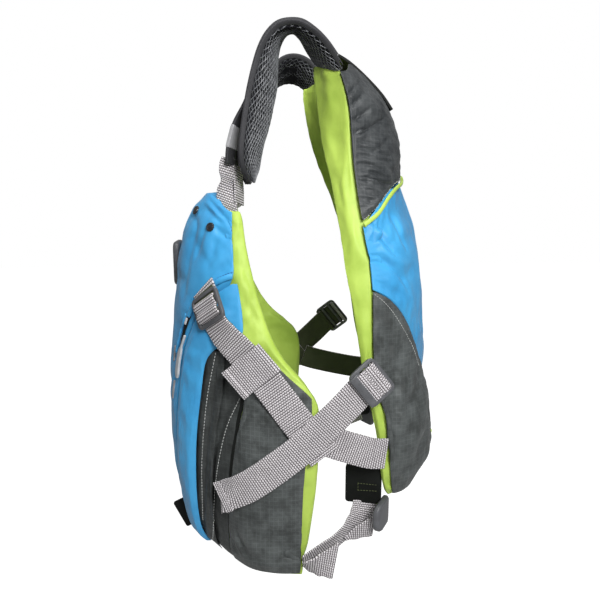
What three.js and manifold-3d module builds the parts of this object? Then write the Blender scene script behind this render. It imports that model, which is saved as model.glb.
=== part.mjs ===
// Paddling life vest, empty and standing open as it does when it is worn.
// Millimetres. X points to the wearer's left, Y to the back and Z up.
// Two front panels meet at a centre zip, one back panel faces them, two padded straps go over the
// shoulders and a webbing harness ties front to back at each side.

import * as THREE from 'three';
import { mergeVertices } from 'three/addons/utils/BufferGeometryUtils.js';
import Module from 'manifold-3d';

const wasm = await Module();
wasm.setup();

// Shared sizes
const CLEAR = 0.4;
const BACK_CLEAR = 0.9;
const FRONT_SINK = 1.1;
const BACK_SINK = 1.7;
const MERGE = 1e-4;
const ZIP_HALF = 5;
const ZIP_DEEP = 8;
const SKIN = 2;
const WEBBING = { width: 32, thick: 2 };
const PLEAT_SPLIT = 0.34;
const POCKET_SPLIT = 0.68;
const POCKET_TOP = 40;
const POCKET_FADE = 14;
const PLEAT_TOP = -26;
const ZIP_VALLEY = 0.2;
const NECK_DROP = 9;
const RIM_ANGLES = [25, 65, 115, 155];
const SEAM_TURN = 0.2;
const SIDE_CROWN = 4;
const SIDE_END = 89.85;
const ARM_HOLE = { reach: 110, foot: 60, top: 230, back: 34, front: 12 };

// Point under the shoulder straps, midway between them, where the vest is held up
const SHOULDER_REST = { y: -14, z: 283 };

// Front half, from hem to neckline. Each row is a level section from the zip round to the arm hole:
// the seam at the arm hole, how far the lime rim shows past it, the height at the zip, how far the
// middle of the row rises, the lining's and the face's place at the zip with the squareness of their
// curves, and the thickness of the lime foam.
const FRONT = table('edgeZ edgeX edgeY rim frontZ rise baseY baseSquare faceY faceSquare foam', [
  [-264, 145, -10, 2, -250, -3, -94, 2.6, -117, 2.5, 5],
  [-252, 149, -8, 3, -242, -2, -101, 3.0, -130, 2.7, 10],
  [-232, 150, -7, 5, -226, -2, -104, 3.2, -138, 2.9, 14],
  [-200, 151, -6, 9, -198, -1, -104, 3.4, -143, 3.1, 16],
  [-166, 151, -5, 13, -166, 0, -104, 3.4, -146, 3.2, 16],
  [-138, 151, -3, 12, -138, 0, -104, 3.4, -147, 3.2, 16],
  [-108, 150, 3, 8, -108, 0, -104, 3.4, -147.5, 3.2, 16],
  [-78, 148, 7, 3, -78, 0, -104, 3.3, -147, 3.1, 16],
  [-55, 145, -8, 3, -56, 0, -103, 3.1, -146, 2.9, 15],
  [-42, 142, -29, 9, -44, 0, -103, 3.0, -145, 2.8, 15],
  [-17, 137, -48, 13, -22, 0, -102, 2.8, -143, 2.5, 15],
  [4, 132, -58, 16, -6, 1, -102, 2.6, -142.5, 2.3, 15],
  [27, 128, -64, 15, 10, 4, -102, 2.4, -142, 2.1, 15],
  [51, 122, -70, 15, 28, 10, -102, 2.2, -141, 2.0, 14],
  [81, 115, -73, 12, 52, 20, -102, 2.0, -136, 1.9, 12],
  [100, 110, -73, 10, 70, 29, -100, 1.9, -121, 1.9, 9],
  [109, 107, -73, 7, 78, 34, -97, 1.9, -106, 1.9, 5],
]);
// Heights of the sections that all layers of a front half share
const FRONT_LEVELS = [
  -258, -248, -226, -185, -145, -105, -70, -44, -26, -8, 8, 24, 40, 54, 72, 90, 101, 108,
];

// Lines on the front half, as turns about the section from the zip (0) to the arm hole (90)
const ZIP_LINE = table('height turn', [
  [-250, 11], [-170, 17], [-114, 22.7], [-67, 27.6], [-28, 36], [2, 48], [27, 61], [48, 88], [110, 88],
]);
const POCKET_EDGE = table('height turn', [
  [-250, 30], [-211, 33], [-157, 36.5], [-114, 39], [-80, 42], [-50, 48], [-27, 56], [-12, 84], [50, 88],
]);
const SIDE_LINE = table('height turn', [
  [-255, 47], [-195, 50], [-149, 54], [-105, 57], [-69, 63.5], [-20, 75],
]);

// Back panel, from hem to shoulders: the seam at the arm hole, the inner corner of the lime wall, the
// height and place of the outer face in the middle, the squareness of its curve, the depth of the
// cover and the place of the lining's inner face in the middle.
const BACK = table('edgeZ edgeX edgeY cornerX cornerY backZ backY square cover innerY', [
  [-188, 124, 88, 122, 84, -187, 125, 2.2, 5, 114],
  [-180, 131, 84, 127, 79, -180, 139, 2.2, 13, 114],
  [-162, 138, 80, 133, 74, -162, 149, 2.2, 20, 113],
  [-129, 142, 78, 136, 70, -129, 147, 2.2, 24, 110],
  [-96, 144, 74, 137, 64, -96, 145, 2.2, 25, 107],
  [-60, 142, 62, 136, 54, -60, 142.5, 2.1, 26, 102],
  [-25, 140, 59, 134, 49, -25, 138, 2.1, 26, 97],
  [15, 138, 59, 130, 43, 15, 134, 2.1, 26, 92],
  [53, 132, 57, 122, 35, 53, 129, 2.1, 27, 87],
  [90, 125, 50, 112, 31, 90, 123, 2.1, 28, 81],
  [130, 115, 44, 98, 25, 132, 115, 2.1, 26, 73],
  [168, 107, 41, 84, 17, 170, 108, 2.1, 23, 62],
  [207, 103, 39, 74, 12, 206, 96, 2.1, 19, 50],
  [229, 101, 35, 69, 9, 230, 75, 2.1, 13, 38],
  [239, 99, 31, 67, 8, 247, 56, 2.1, 7, 32],
  [243, 97, 28, 66, 9, 256, 44, 2.1, 4, 30],
]);

// Lines across the back: where the covers end, and the piping and the seam with their rise to the sides
const COVER = { foot: -184, top: 240 };
const PIPING = { middle: 152, rise: -61, bend: 1.5, width: 5 };
const SEAM = { middle: -118, rise: 152, bend: 1.35 };

// Padded shoulder straps: the arm edge and the neck edge of the mesh side, from the back panel over
// the shoulder to the rounded front end. The left one lies twisted open, the right one lies flat.
const STRAP_COLUMNS = 'armX armY armZ neckX neckY neckZ';
const STRAP_FRONT = [
  [115, -40.5, 252, 66, -25, 254],
  [114, -46.5, 234, 68, -25, 237],
  [113.5, -51.5, 213, 70, -29, 214],
  [112.5, -55.5, 190, 72, -36, 189],
  [111, -58.5, 167, 74, -42, 165],
  [107, -57, 150, 78, -45, 149],
  [100, -53, 138, 87, -48, 137],
];
const STRAP_LEFT = table(STRAP_COLUMNS, [
  [99.8, 30, 241.6, 66, 8, 253.7],
  [106, 18, 255, 62, 2, 263],
  [110, 9, 264, 60, -2, 270],
  [113, -3, 272, 60, -7, 279],
  [114, -15, 276, 60, -13, 284],
  [114, -25, 273.5, 61, -19, 279],
  [115, -34, 265, 63, -23, 269],
  ...STRAP_FRONT,
]);
const STRAP_RIGHT = table(STRAP_COLUMNS, [
  [99, 29.5, 242.5, 64, 31, 251.5],
  [103, 21, 248, 63, 24, 264],
  [107, 12, 254, 62, 17, 274],
  [110, 3, 261, 62, 8, 281],
  [111, -8, 263, 63, -3, 284],
  [110, -19, 259, 64, -14, 281],
  [110, -29, 251, 65, -21, 272],
  [111, -40, 240, 66, -25, 258],
  ...STRAP_FRONT.slice(1),
]);
const STRAP = { pad: 7, cover: 2.2, gap: 2.1, steps: 14 };
// Sections of a strap's two layers: share across from the arm edge, lower and upper side
const PAD_SECTION = table('across low high', [
  [0, 2.5, 5], [0.14, 0.4, STRAP.pad], [0.5, -0.6, STRAP.pad], [0.86, 0.4, STRAP.pad], [1, 2.5, 5],
]);
const COVER_LOW = STRAP.pad + STRAP.gap;
const COVER_HIGH = COVER_LOW + STRAP.cover;
const COVER_SECTION = table('across low high', [
  [-0.05, 5.6, 7.4],
  [0.1, COVER_LOW, COVER_HIGH],
  [0.5, COVER_LOW, COVER_HIGH + 0.8],
  [0.9, COVER_LOW, COVER_HIGH],
  [1.05, 5.6, 7.4],
]);

// Ladder lock: a moulded frame with two inner bars that the webbing wraps over
const LOCK = { long: 32, wide: 41, thick: 3.5, corner: 6, endBar: 3.6, innerBar: 3.4, slot: 5.2, side: 3.6 };
// Way of the webbing through a lock: along it and out from its back
const WEAVE = table('along out', [
  [-16.5, -1.6], [-12.9, -1.6], [-11.3, -1.1], [-9.8, 1.7], [-8.5, 4.7], [-5.5, 5.6], [-2.8, 4.9],
  [0, 3.8], [2.8, 4.9], [5.5, 5.6], [8.5, 4.7], [9.8, 1.7], [11.3, -1.1], [12.9, -1.6], [16.5, -1.6],
]);
const FRONT_LOCK = { at: [130, -97, 17], out: [0.68, -0.73, 0.08], along: [0.4, 0.32, -0.85] };
const REAR_LOCK = { at: [154, 58, -53], out: [0.97, 0.2, 0.1], along: [-0.15, 0.76, 0.62] };

// Webbing routes: places along the middle of each strap and the way its outer side faces, as degrees
// from +X round towards the front, and upwards.
const ROUTE_COLUMNS = 'x y z facing tilt';
const UPPER_END = table(ROUTE_COLUMNS, [
  [118.5, -104, 36, 43, 8],
]);
const UPPER_ROUTE = table(ROUTE_COLUMNS, [
  [141.5, -81.5, -9, 40, 4],
  [146, -70, -20, 28, 2],
  [149.5, -54, -38, 15, 0],
  [153.2, -35, -62, 6, 0],
  [156.5, -16, -88, 2, 0],
  [157, 0, -109, 0, 0],
  [157, 13, -126, 0, 0],
]);
const CROSS_ROUTE = table(ROUTE_COLUMNS, [
  [143.4, -89.7, -173, 28, 0],
  [154, -65, -159, 16, 0],
  [158.2, -40, -141, 7, 0],
  [160, -11, -118, 0, 0],
  [160, 12, -96, -3, 0],
  [158, 30, -79, -8, 0],
]);
const CROSS_END = table(ROUTE_COLUMNS, [
  [142.7, 75.5, -40.5, -24, 6],
]);
const REAR_ROUTE = table(ROUTE_COLUMNS, [
  [154, 16, -112, 0, 0],
  [154.5, 30, -117, -4, 0],
  [152.5, 46, -123, -10, 0],
  [149, 62, -129, -14, 0],
  [145.6, 76.8, -131, -16, 0],
]);
const WAIST_ROUTE = table(ROUTE_COLUMNS, [
  [152.6, -9, -250, 4, 0],
  [153.2, 0, -252.5, 0, -6],
  [153, 9, -254, 0, -24],
  [152.5, 15, -253, 0, -50],
  [151.5, 20, -249.5, 0, -76],
  [150, 26, -243.5, 0, -98],
  [148, 32.5, -236, 0, -116],
  [145, 40, -226.5, 0, -138],
  [140, 48, -215.5, 0, -160],
  [133, 54, -212, 0, -176],
  [127, 57.5, -206, 0, -180],
  [123.8, 59, -198, 0, -180],
]);
const SHOULDER_ROUTE = table(ROUTE_COLUMNS, [
  [87, -82, 115.5, 46, 0],
  [87, -80.5, 131, 48, 0],
  [87, -79, 146, 52, 16],
  [85.5, -75, 152.5, 54, 90],
  [83.5, -72.5, 147, 54, 164],
  [82, -73, 133, 50, 180],
  [82.5, -74, 114, 46, 180],
]);
const SHOULDER_WEBBING = { width: 21, thick: 1.8 };
const WAIST_WEBBING = { width: 28, thick: 2 };
const KEEPER = { row: 2, long: 33, thick: 2, tail: 9, gap: 1.7 };

// Dark cloth loop that hangs from each shoulder strap and holds the webbing
const TAB_ROUTE = table(ROUTE_COLUMNS, [
  [83, -50, 222, 117, 0],
  [84, -56, 208, 118, 0],
  [85, -65, 192, 118, 0],
  [86, -70, 177, 118, 0],
  [87, -72.5, 166, 118, 0],
  [87.5, -73.2, 154, 118, 0],
]);
const TAB = { width: 26, thick: 3 };

// Small hard pieces and trim
const EYELET = { outer: 5, inner: 2.6, thick: 1.6 };
const EYELETS = table('name height turn', [
  ['eyelet_upper', 96, 44], ['eyelet_lower', 90, 67],
]);
const PULL = { top: -14, foot: -62, width: 7, thick: 2.2, tilt: 2.5 };
const CHEST_BUCKLE = { wide: 42, tall: 50, thick: 8, corner: 7, y: -137.5, z: 47 };
const HEM_TAB = { long: 35, deep: 14, thick: 3, x: 42, y: -139.2, z: -245.4, tilt: 26 };
const BACK_TAG = { wide: 26, tall: 30, thick: 2, x: 20, y: 153, z: -170, lean: 12 };
const BACK_FLAP = { half: 46, thick: 3 };
const FLAP_ROWS = table('y z', [[37.5, 269.4], [50, 262], [67.5, 247.5], [85, 230], [96.5, 214.5]]);
const WAIST_SLEEVE = { thick: 5, tall: 42, wide: 38, at: [120, 59, -175], facing: 13 };
const WAIST_BUCKLE = { long: 30, wide: 36, thick: 7, corner: 8, at: [137.3, 73.5, -200.5], facing: -60 };

const MATERIALS = {
  blue: cloth(0x1f7fc4, 0.62),
  lime: cloth(0xa6d12f, 0.6),
  heather: cloth(0x4a4e4e, 0.75),
  charcoal: cloth(0x37383b, 0.75),
  black: cloth(0x17181b, 0.7),
  mesh: cloth(0x3c3c44, 0.85),
  webbing: cloth(0x8c8788, 0.8),
  plastic: cloth(0x5c5d61, 0.45),
  pale: cloth(0xb9babb, 0.5),
};

function cloth(color, roughness) {
  return new THREE.MeshStandardMaterial({ color, roughness, metalness: 0 });
}

// Rows of numbers as objects with named columns
function table(columns, rows) {
  const names = columns.split(' ');
  return rows.map((row) => Object.fromEntries(names.map((name, i) => [name, row[i]])));
}

// Every column of a table at a place on its key column, on a smooth curve through the rows
function sample(rows, key, at) {
  const last = rows.length - 1;
  let k = 0;
  while (k < last - 1 && at > rows[k + 1][key]) {
    k += 1;
  }
  const span = rows[k + 1][key] - rows[k][key];
  const t = THREE.MathUtils.clamp((at - rows[k][key]) / span, 0, 1);
  const result = {};
  for (const name of Object.keys(rows[k])) {
    const slope = (i) => {
      if (i === 0 || i === last) {
        return (rows[Math.min(i + 1, last)][name] - rows[Math.max(i - 1, 0)][name]) / span * 0.5;
      }
      const before = (rows[i][name] - rows[i - 1][name]) / (rows[i][key] - rows[i - 1][key]);
      const after = (rows[i + 1][name] - rows[i][name]) / (rows[i + 1][key] - rows[i][key]);
      return before * after > 0 ? 2 * before * after / (before + after) : 0;
    };
    const a = rows[k][name];
    const b = rows[k + 1][name];
    const rise = b - a;
    const m0 = slope(k) * span;
    const m1 = slope(k + 1) * span;
    result[name] = a + t * (m0 + t * (3 * rise - 2 * m0 - m1 + t * (m0 + m1 - 2 * rise)));
  }
  return result;
}

function steps(from, to, count) {
  return Array.from({ length: count + 1 }, (_, i) => from + (to - from) * i / count);
}

function smooth(from, to, at) {
  return THREE.MathUtils.smoothstep(at, from, to);
}

// The right arm hole stands wider open than the left one, by a share that fades out to its top
function armHoleShare(z) {
  return 1 - smooth(ARM_HOLE.foot, ARM_HOLE.top, z);
}

// A place of the back panel, set back gently towards the right
function setBack(point) {
  const share = armHoleShare(point.z) * smooth(-40, 140, -point.x);
  return new THREE.Vector3(point.x, point.y + ARM_HOLE.back * share, point.z);
}

// Closed mesh from shared points, turned so that its faces point out
function closedMesh(name, material, points, triangles) {
  let volume = 0;
  for (const [a, b, c] of triangles) {
    volume += points[a].dot(new THREE.Vector3().crossVectors(points[b], points[c]));
  }
  const order = volume < 0 ? triangles.map(([a, b, c]) => [a, c, b]) : triangles;
  const geometry = new THREE.BufferGeometry();
  geometry.setAttribute('position', new THREE.Float32BufferAttribute(points.flatMap((p) => p.toArray()), 3));
  geometry.setIndex(order.flat());
  geometry.computeVertexNormals();
  const mesh = new THREE.Mesh(geometry, material);
  mesh.name = name;
  return mesh;
}

// Solid through closed rings of equal length. A ring runs along one side of the piece and back along
// the other, so its end is closed by a strip between the two.
function ringSolid(name, material, rings) {
  const count = rings[0].length;
  const triangles = [];
  const quad = (a, b, c, d) => triangles.push([a, b, c], [a, c, d]);
  for (let r = 0; r < rings.length - 1; r += 1) {
    for (let i = 0; i < count; i += 1) {
      const j = (i + 1) % count;
      quad(r * count + i, r * count + j, (r + 1) * count + j, (r + 1) * count + i);
    }
  }
  const foot = (rings.length - 1) * count;
  for (let i = 0; i < count / 2 - 1; i += 1) {
    const mate = count - 1 - i;
    quad(i + 1, i, mate, mate - 1);
    quad(foot + i, foot + i + 1, foot + mate - 1, foot + mate);
  }
  return closedMesh(name, material, rings.flat(), triangles);
}

// A place on the front half: depth 0 lies on the lining, 1 on the outer face, and lift goes outwards
function frontPoint(turn, height, depth = 0, lift = 0) {
  const row = sample(FRONT, 'edgeZ', height);
  const angle = THREE.MathUtils.degToRad(turn);
  const sin = Math.max(Math.sin(angle), 0);
  const cos = Math.max(Math.cos(angle), 0);
  const curve = (middleY, square) => {
    const power = 2 / square;
    const x = ZIP_HALF + (row.edgeX - ZIP_HALF) * sin ** power;
    const y = row.edgeY - (row.edgeY - middleY) * cos ** power;
    const normal = new THREE.Vector3(
      sin ** (2 - power) / (row.edgeX - ZIP_HALF),
      -(cos ** (2 - power)) / (row.edgeY - middleY),
      0,
    ).normalize();
    return { place: new THREE.Vector3(x, y, 0), normal };
  };
  const base = curve(row.baseY, row.baseSquare);
  const face = curve(row.faceY, row.faceSquare);
  const point = base.place.lerp(face.place, depth);
  const normal = base.normal.lerp(face.normal, depth).normalize();
  point.addScaledVector(normal, lift);
  point.z = row.frontZ + (row.edgeZ - row.frontZ) * sin + row.rise * Math.sin(Math.PI * sin);
  return { point, normal };
}

// A place on the back panel: depth 0 lies on the lining, 1 on the outer face, and lift goes outwards
function backPoint(turn, height, depth = 0, lift = 0) {
  const row = sample(BACK, 'edgeZ', height);
  const angle = THREE.MathUtils.degToRad(turn);
  const sin = Math.sin(angle);
  const cos = Math.max(Math.cos(angle), 0);
  const power = 2 / row.square;
  const reach = row.backY - row.cover * (1 - depth) - row.edgeY;
  const wide = Math.abs(sin) ** power;
  const normal = new THREE.Vector3(
    Math.sign(sin) * Math.abs(sin) ** (2 - power) / row.edgeX,
    cos ** (2 - power) / reach,
    0,
  ).normalize();
  const point = new THREE.Vector3(
    Math.sign(sin) * row.edgeX * wide,
    row.edgeY + reach * cos ** power,
    row.backZ + (row.edgeZ - row.backZ) * Math.abs(sin),
  );
  point.addScaledVector(normal, lift);
  return { point: setBack(point), normal };
}

// A place of the left side, or its mate on the right, where the front is set forward
function mirrored(point, side) {
  const share = armHoleShare(point.z) * smooth(20, ARM_HOLE.reach, point.x) * smooth(0, 50, -point.y);
  const forward = ARM_HOLE.front * share;
  return new THREE.Vector3(point.x * side, point.y - (side < 0 ? forward : 0), point.z);
}

// Layer of a front half between two depths, over rows of heights
function frontLayer(name, material, side, layer) {
  const rings = layer.heights.map((height, r) => {
    const w = r / (layer.heights.length - 1);
    const outer = steps(layer.from(height), layer.outerTo(height), layer.across)
      .map((turn, i) => layer.outer(turn, height, i / layer.across, w));
    const inner = steps(layer.from(height), layer.innerTo(height), layer.across)
      .map((turn, i) => layer.inner(turn, height, i / layer.across, w));
    return [...outer, ...inner.reverse()].map((p) => mirrored(p, side));
  });
  return ringSolid(name, material, rings);
}

const lineAt = (line, height) => sample(line, 'height', height).turn;
const zipAt = (height) => lineAt(ZIP_LINE, height);
const pocketAt = (height) => lineAt(POCKET_EDGE, height);
const sideAt = (height) => lineAt(SIDE_LINE, height);
const pleatAt = (height) => (pocketAt(height) + sideAt(height)) / 2;

// How deep a front piece reaches in: to the pleats below the pocket's top, and to the lining above it
function frontBack(height) {
  return POCKET_SPLIT * (1 - smooth(-POCKET_FADE, POCKET_FADE, height));
}

function frontLining(tag, side) {
  const turns = steps(0, 90, 7);
  const rings = FRONT.map((row) => {
    const below = (turn) => NECK_DROP * smooth(60, 105, row.edgeZ) * (1 - smooth(50, 85, turn));
    const lowered = (point, turn) => point.setZ(point.z - below(turn));
    const outer = turns.map((turn) => lowered(frontPoint(turn, row.edgeZ, 0, -FRONT_SINK).point, turn));
    const inner = turns.map((turn) => lowered(innerFront(row, turn), turn)).reverse();
    const half = row.foam / 2;
    const rim = RIM_ANGLES.map((degrees) => {
      const angle = THREE.MathUtils.degToRad(degrees);
      return new THREE.Vector3(
        row.edgeX - half + half * Math.cos(angle),
        row.edgeY + row.rim * Math.sin(angle),
        row.edgeZ,
      );
    });
    return [...outer, ...rim, ...inner].map((p) => mirrored(p, side));
  });
  return ringSolid(`front_lining_${tag}`, MATERIALS.lime, rings);
}

// Inner face of a front lining, a foam's thickness inside its outer face
function innerFront(row, turn) {
  const angle = THREE.MathUtils.degToRad(turn);
  const power = 2 / row.baseSquare;
  const sin = Math.sin(angle);
  const cos = Math.max(Math.cos(angle), 0);
  return new THREE.Vector3(
    ZIP_HALF + (row.edgeX - row.foam - ZIP_HALF) * sin ** power,
    row.edgeY - (row.edgeY - row.baseY - row.foam) * cos ** power,
    row.frontZ + (row.edgeZ - row.frontZ) * sin + row.rise * Math.sin(Math.PI * sin),
  );
}

function frontChest(tag, side) {
  return frontLayer(`front_chest_${tag}`, MATERIALS.blue, side, {
    heights: FRONT_LEVELS,
    across: 8,
    from: () => 0,
    outerTo: zipAt,
    innerTo: zipAt,
    outer: (turn, height, u) => {
      const depth = 1 - ZIP_VALLEY * (1 - smooth(0, 0.25, u)) - 0.05 * u ** 8;
      return frontPoint(turn, height, depth, SKIN).point;
    },
    inner: (turn, height) => frontPoint(turn, height, frontBack(height), 2 * CLEAR).point,
  });
}

function pocketFace(tag, side) {
  const start = (height) => zipAt(height) + 3.8;
  return frontLayer(`pocket_face_${tag}`, MATERIALS.blue, side, {
    heights: FRONT_LEVELS.filter((height) => height <= POCKET_TOP),
    across: 5,
    from: start,
    outerTo: pocketAt,
    innerTo: pocketAt,
    outer: (turn, height, u) => frontPoint(turn, height, 0.97 - 0.1 * u ** 6, SKIN).point,
    inner: (turn, height) => frontPoint(turn, height, frontBack(height), 2 * CLEAR).point,
  });
}

function pocketPleat(tag, side, outer) {
  const near = outer ? PLEAT_SPLIT : 0;
  const far = outer ? POCKET_SPLIT : PLEAT_SPLIT;
  return frontLayer(`pocket_pleat_${outer ? 'outer' : 'inner'}_${tag}`, MATERIALS.heather, side, {
    heights: FRONT_LEVELS.filter((height) => height <= PLEAT_TOP),
    across: 7,
    from: () => 0,
    outerTo: (height) => (outer ? pocketAt(height) : pleatAt(height)) + 2 * SEAM_TURN,
    innerTo: (height) => (outer ? pleatAt(height) : sideAt(height) - SEAM_TURN),
    outer: (turn, height) => frontPoint(turn, height, far, -CLEAR).point,
    inner: (turn, height) => frontPoint(turn, height, near, 3 * CLEAR).point,
  });
}

function frontSide(tag, side) {
  return frontLayer(`front_side_${tag}`, MATERIALS.heather, side, {
    heights: FRONT_LEVELS.filter((height) => height <= PLEAT_TOP),
    across: 6,
    from: (height) => sideAt(height) + SEAM_TURN,
    outerTo: () => SIDE_END,
    innerTo: () => SIDE_END,
    outer: (turn, height, u, w) => {
      const swell = Math.sin(Math.PI * u) ** 0.7 * Math.sin(Math.PI * w) ** 0.6;
      return frontPoint(turn, height, 0, CLEAR + SKIN + SIDE_CROWN * swell).point;
    },
    inner: (turn, height) => frontPoint(turn, height, 0, 2 * CLEAR).point,
  });
}

function pocketZip(tag, side) {
  return frontLayer(`pocket_zip_${tag}`, MATERIALS.black, side, {
    heights: FRONT_LEVELS.filter((height) => height < POCKET_TOP),
    across: 1,
    from: (height) => zipAt(height) + 1.8,
    outerTo: (height) => zipAt(height) + 3.2,
    innerTo: (height) => zipAt(height) + 3.2,
    outer: (turn, height) => frontPoint(turn, height, 0.92).point,
    inner: (turn, height) => frontPoint(turn, height, 0.8).point,
  });
}

function centreZip() {
  const rings = FRONT_LEVELS.filter((height, i) => i < 2 || i % 2 === 0).map((height) => {
    const row = sample(FRONT, 'edgeZ', height);
    const half = ZIP_HALF - CLEAR;
    const front = row.faceY + (row.baseY - row.faceY) * ZIP_VALLEY - SKIN / 2;
    const back = Math.min(front + ZIP_DEEP, row.baseY + SKIN);
    return [[-half, front], [half, front], [half, back], [-half, back]]
      .map(([x, y]) => new THREE.Vector3(x, y, row.frontZ));
  });
  return ringSolid('centre_zip', MATERIALS.black, rings);
}

const BACK_TURNS = steps(-88, 88, 14);
const acrossBack = (line, turn) => (
  line.middle + line.rise * Math.abs(Math.sin(THREE.MathUtils.degToRad(turn))) ** line.bend
);
const pipingAt = (turn) => acrossBack(PIPING, turn);
const seamAt = (turn) => acrossBack(SEAM, turn);

function backLining() {
  const turns = [-90, ...BACK_TURNS, 90];
  const rings = BACK.map((row) => {
    const outer = turns.map((turn) => backPoint(turn, row.edgeZ, 0, -BACK_SINK).point);
    const inner = turns.map((turn) => setBack(innerBack(row, turn))).reverse();
    const wall = (side) => new THREE.Vector3(
      side * ((row.edgeX + row.cornerX) / 2 + 1.5),
      (row.edgeY + row.cornerY) / 2 - 1,
      row.edgeZ,
    );
    return [...outer, setBack(wall(1)), ...inner, setBack(wall(-1))];
  });
  return ringSolid('back_lining', MATERIALS.lime, rings);
}

function innerBack(row, turn) {
  const angle = THREE.MathUtils.degToRad(turn);
  const sin = Math.sin(angle);
  return new THREE.Vector3(
    row.cornerX * sin,
    row.cornerY + (row.innerY - row.cornerY) * Math.max(Math.cos(angle), 0),
    row.backZ + (row.edgeZ - row.backZ) * Math.abs(sin),
  );
}

// Cover of the back panel between two lines across it
function backCover(name, material, lowAt, highAt, count) {
  const rings = steps(0, 1, count).map((w) => {
    const at = (turn) => lowAt(turn) + (highAt(turn) - lowAt(turn)) * w;
    const pinch = 1 - 0.25 * Math.abs(2 * w - 1) ** 10;
    const outer = BACK_TURNS.map((turn) => backPoint(turn, at(turn), pinch, SKIN).point);
    const inner = BACK_TURNS.map((turn) => backPoint(turn, at(turn), 0, BACK_CLEAR).point);
    return [...outer, ...inner.reverse()];
  });
  return ringSolid(name, material, rings);
}

function backPiping() {
  const half = PIPING.width / 2 - CLEAR;
  const rings = BACK_TURNS.map((turn) => {
    const at = pipingAt(turn);
    return [[-half, 0.72], [half, 0.72], [half, 1], [-half, 1]]
      .map(([along, depth]) => backPoint(turn, at + along, depth, SKIN).point);
  });
  return ringSolid('back_piping', MATERIALS.lime, rings);
}

function backFlap() {
  const rings = FLAP_ROWS.map((row, i) => {
    const next = FLAP_ROWS[Math.min(i + 1, FLAP_ROWS.length - 1)];
    const before = FLAP_ROWS[Math.max(i - 1, 0)];
    const out = new THREE.Vector3(0, before.z - next.z, next.y - before.y).normalize();
    const corner = (x, lift) => new THREE.Vector3(x, row.y, row.z).addScaledVector(out, lift);
    const half = BACK_FLAP.half;
    const deep = -BACK_FLAP.thick;
    return [corner(-half, 0), corner(half, 0), corner(half, deep), corner(-half, deep)];
  });
  return ringSolid('back_flap', MATERIALS.black, rings);
}

// Rows of a shoulder strap, evenly spaced on smooth curves through its table
function strapRows(rows) {
  const curve = (edge) => new THREE.CatmullRomCurve3(
    rows.map((row) => new THREE.Vector3(row[`${edge}X`], row[`${edge}Y`], row[`${edge}Z`])),
  );
  const arm = curve('arm');
  const neck = curve('neck');
  const middle = (t) => arm.getPoint(t).lerp(neck.getPoint(t), 0.5);
  return steps(0, 1, STRAP.steps).map((t) => {
    const armEdge = arm.getPoint(t);
    const neckEdge = neck.getPoint(t);
    const along = middle(Math.min(t + 0.01, 1)).sub(middle(Math.max(t - 0.01, 0))).normalize();
    const across = neckEdge.clone().sub(armEdge);
    const out = new THREE.Vector3().crossVectors(across, along).normalize();
    return { armEdge, across, out, t };
  });
}

// Layer of a shoulder strap: places across it with the height of its lower and upper side
function strapLayer(name, material, rows, side, profile) {
  const rings = strapRows(rows).map((row) => {
    const place = (across, height) => mirrored(
      row.armEdge.clone().addScaledVector(row.across, across).addScaledVector(row.out, height),
      side,
    );
    return [
      ...profile.map((p) => place(p.across, p.low)),
      ...profile.map((p) => place(p.across, p.high)).reverse(),
    ];
  });
  return ringSolid(name, material, rings);
}

function shoulderPad(tag, side, rows) {
  return strapLayer(`shoulder_pad_${tag}`, MATERIALS.mesh, rows, side, PAD_SECTION);
}

function shoulderCover(tag, side, rows) {
  return strapLayer(`shoulder_cover_${tag}`, MATERIALS.charcoal, rows, side, COVER_SECTION);
}

// Way that a strap's outer side faces
function facing(row) {
  const turn = THREE.MathUtils.degToRad(row.facing);
  const tilt = THREE.MathUtils.degToRad(row.tilt);
  return new THREE.Vector3(
    Math.cos(tilt) * Math.cos(turn),
    -Math.cos(tilt) * Math.sin(turn),
    Math.sin(tilt),
  );
}

// Places of a route. On the right its last rows, past a given depth, reach on to the back panel.
function routePoints(rows, side = 1, from = 60, to = 77) {
  const reach = side < 0 ? ARM_HOLE.back : 0;
  return rows.map((row) => ({
    at: new THREE.Vector3(row.x, row.y + reach * smooth(from, to, row.y), row.z),
    out: facing(row),
  }));
}

// Flat strap through places that know which way they face
function ribbon(name, material, places, size, side) {
  const rings = places.map((place, i) => {
    const next = places[Math.min(i + 1, places.length - 1)].at;
    const before = places[Math.max(i - 1, 0)].at;
    const along = next.clone().sub(before).normalize();
    const across = place.across
      ? place.across.clone()
      : new THREE.Vector3().crossVectors(place.out, along).normalize();
    const out = new THREE.Vector3().crossVectors(along, across).normalize();
    const corner = (w, h) => mirrored(
      place.at.clone().addScaledVector(across, w * size.width / 2).addScaledVector(out, h * size.thick / 2),
      side,
    );
    return [corner(-1, 1), corner(1, 1), corner(1, -1), corner(-1, -1)];
  });
  return ringSolid(name, material, rings);
}

// Axes of a ladder lock: along the strap, across it and out from its back
function lockAxes(lock) {
  const out = new THREE.Vector3(...lock.out).normalize();
  const along = new THREE.Vector3(...lock.along);
  along.addScaledVector(out, -along.dot(out)).normalize();
  const across = new THREE.Vector3().crossVectors(out, along);
  return { at: new THREE.Vector3(...lock.at), along, across, out };
}

function weavePlaces(lock) {
  const { at, along, across, out } = lockAxes(lock);
  return WEAVE.map((row) => ({
    at: at.clone().addScaledVector(along, row.along).addScaledVector(out, row.out),
    out,
    across,
  }));
}

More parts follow.
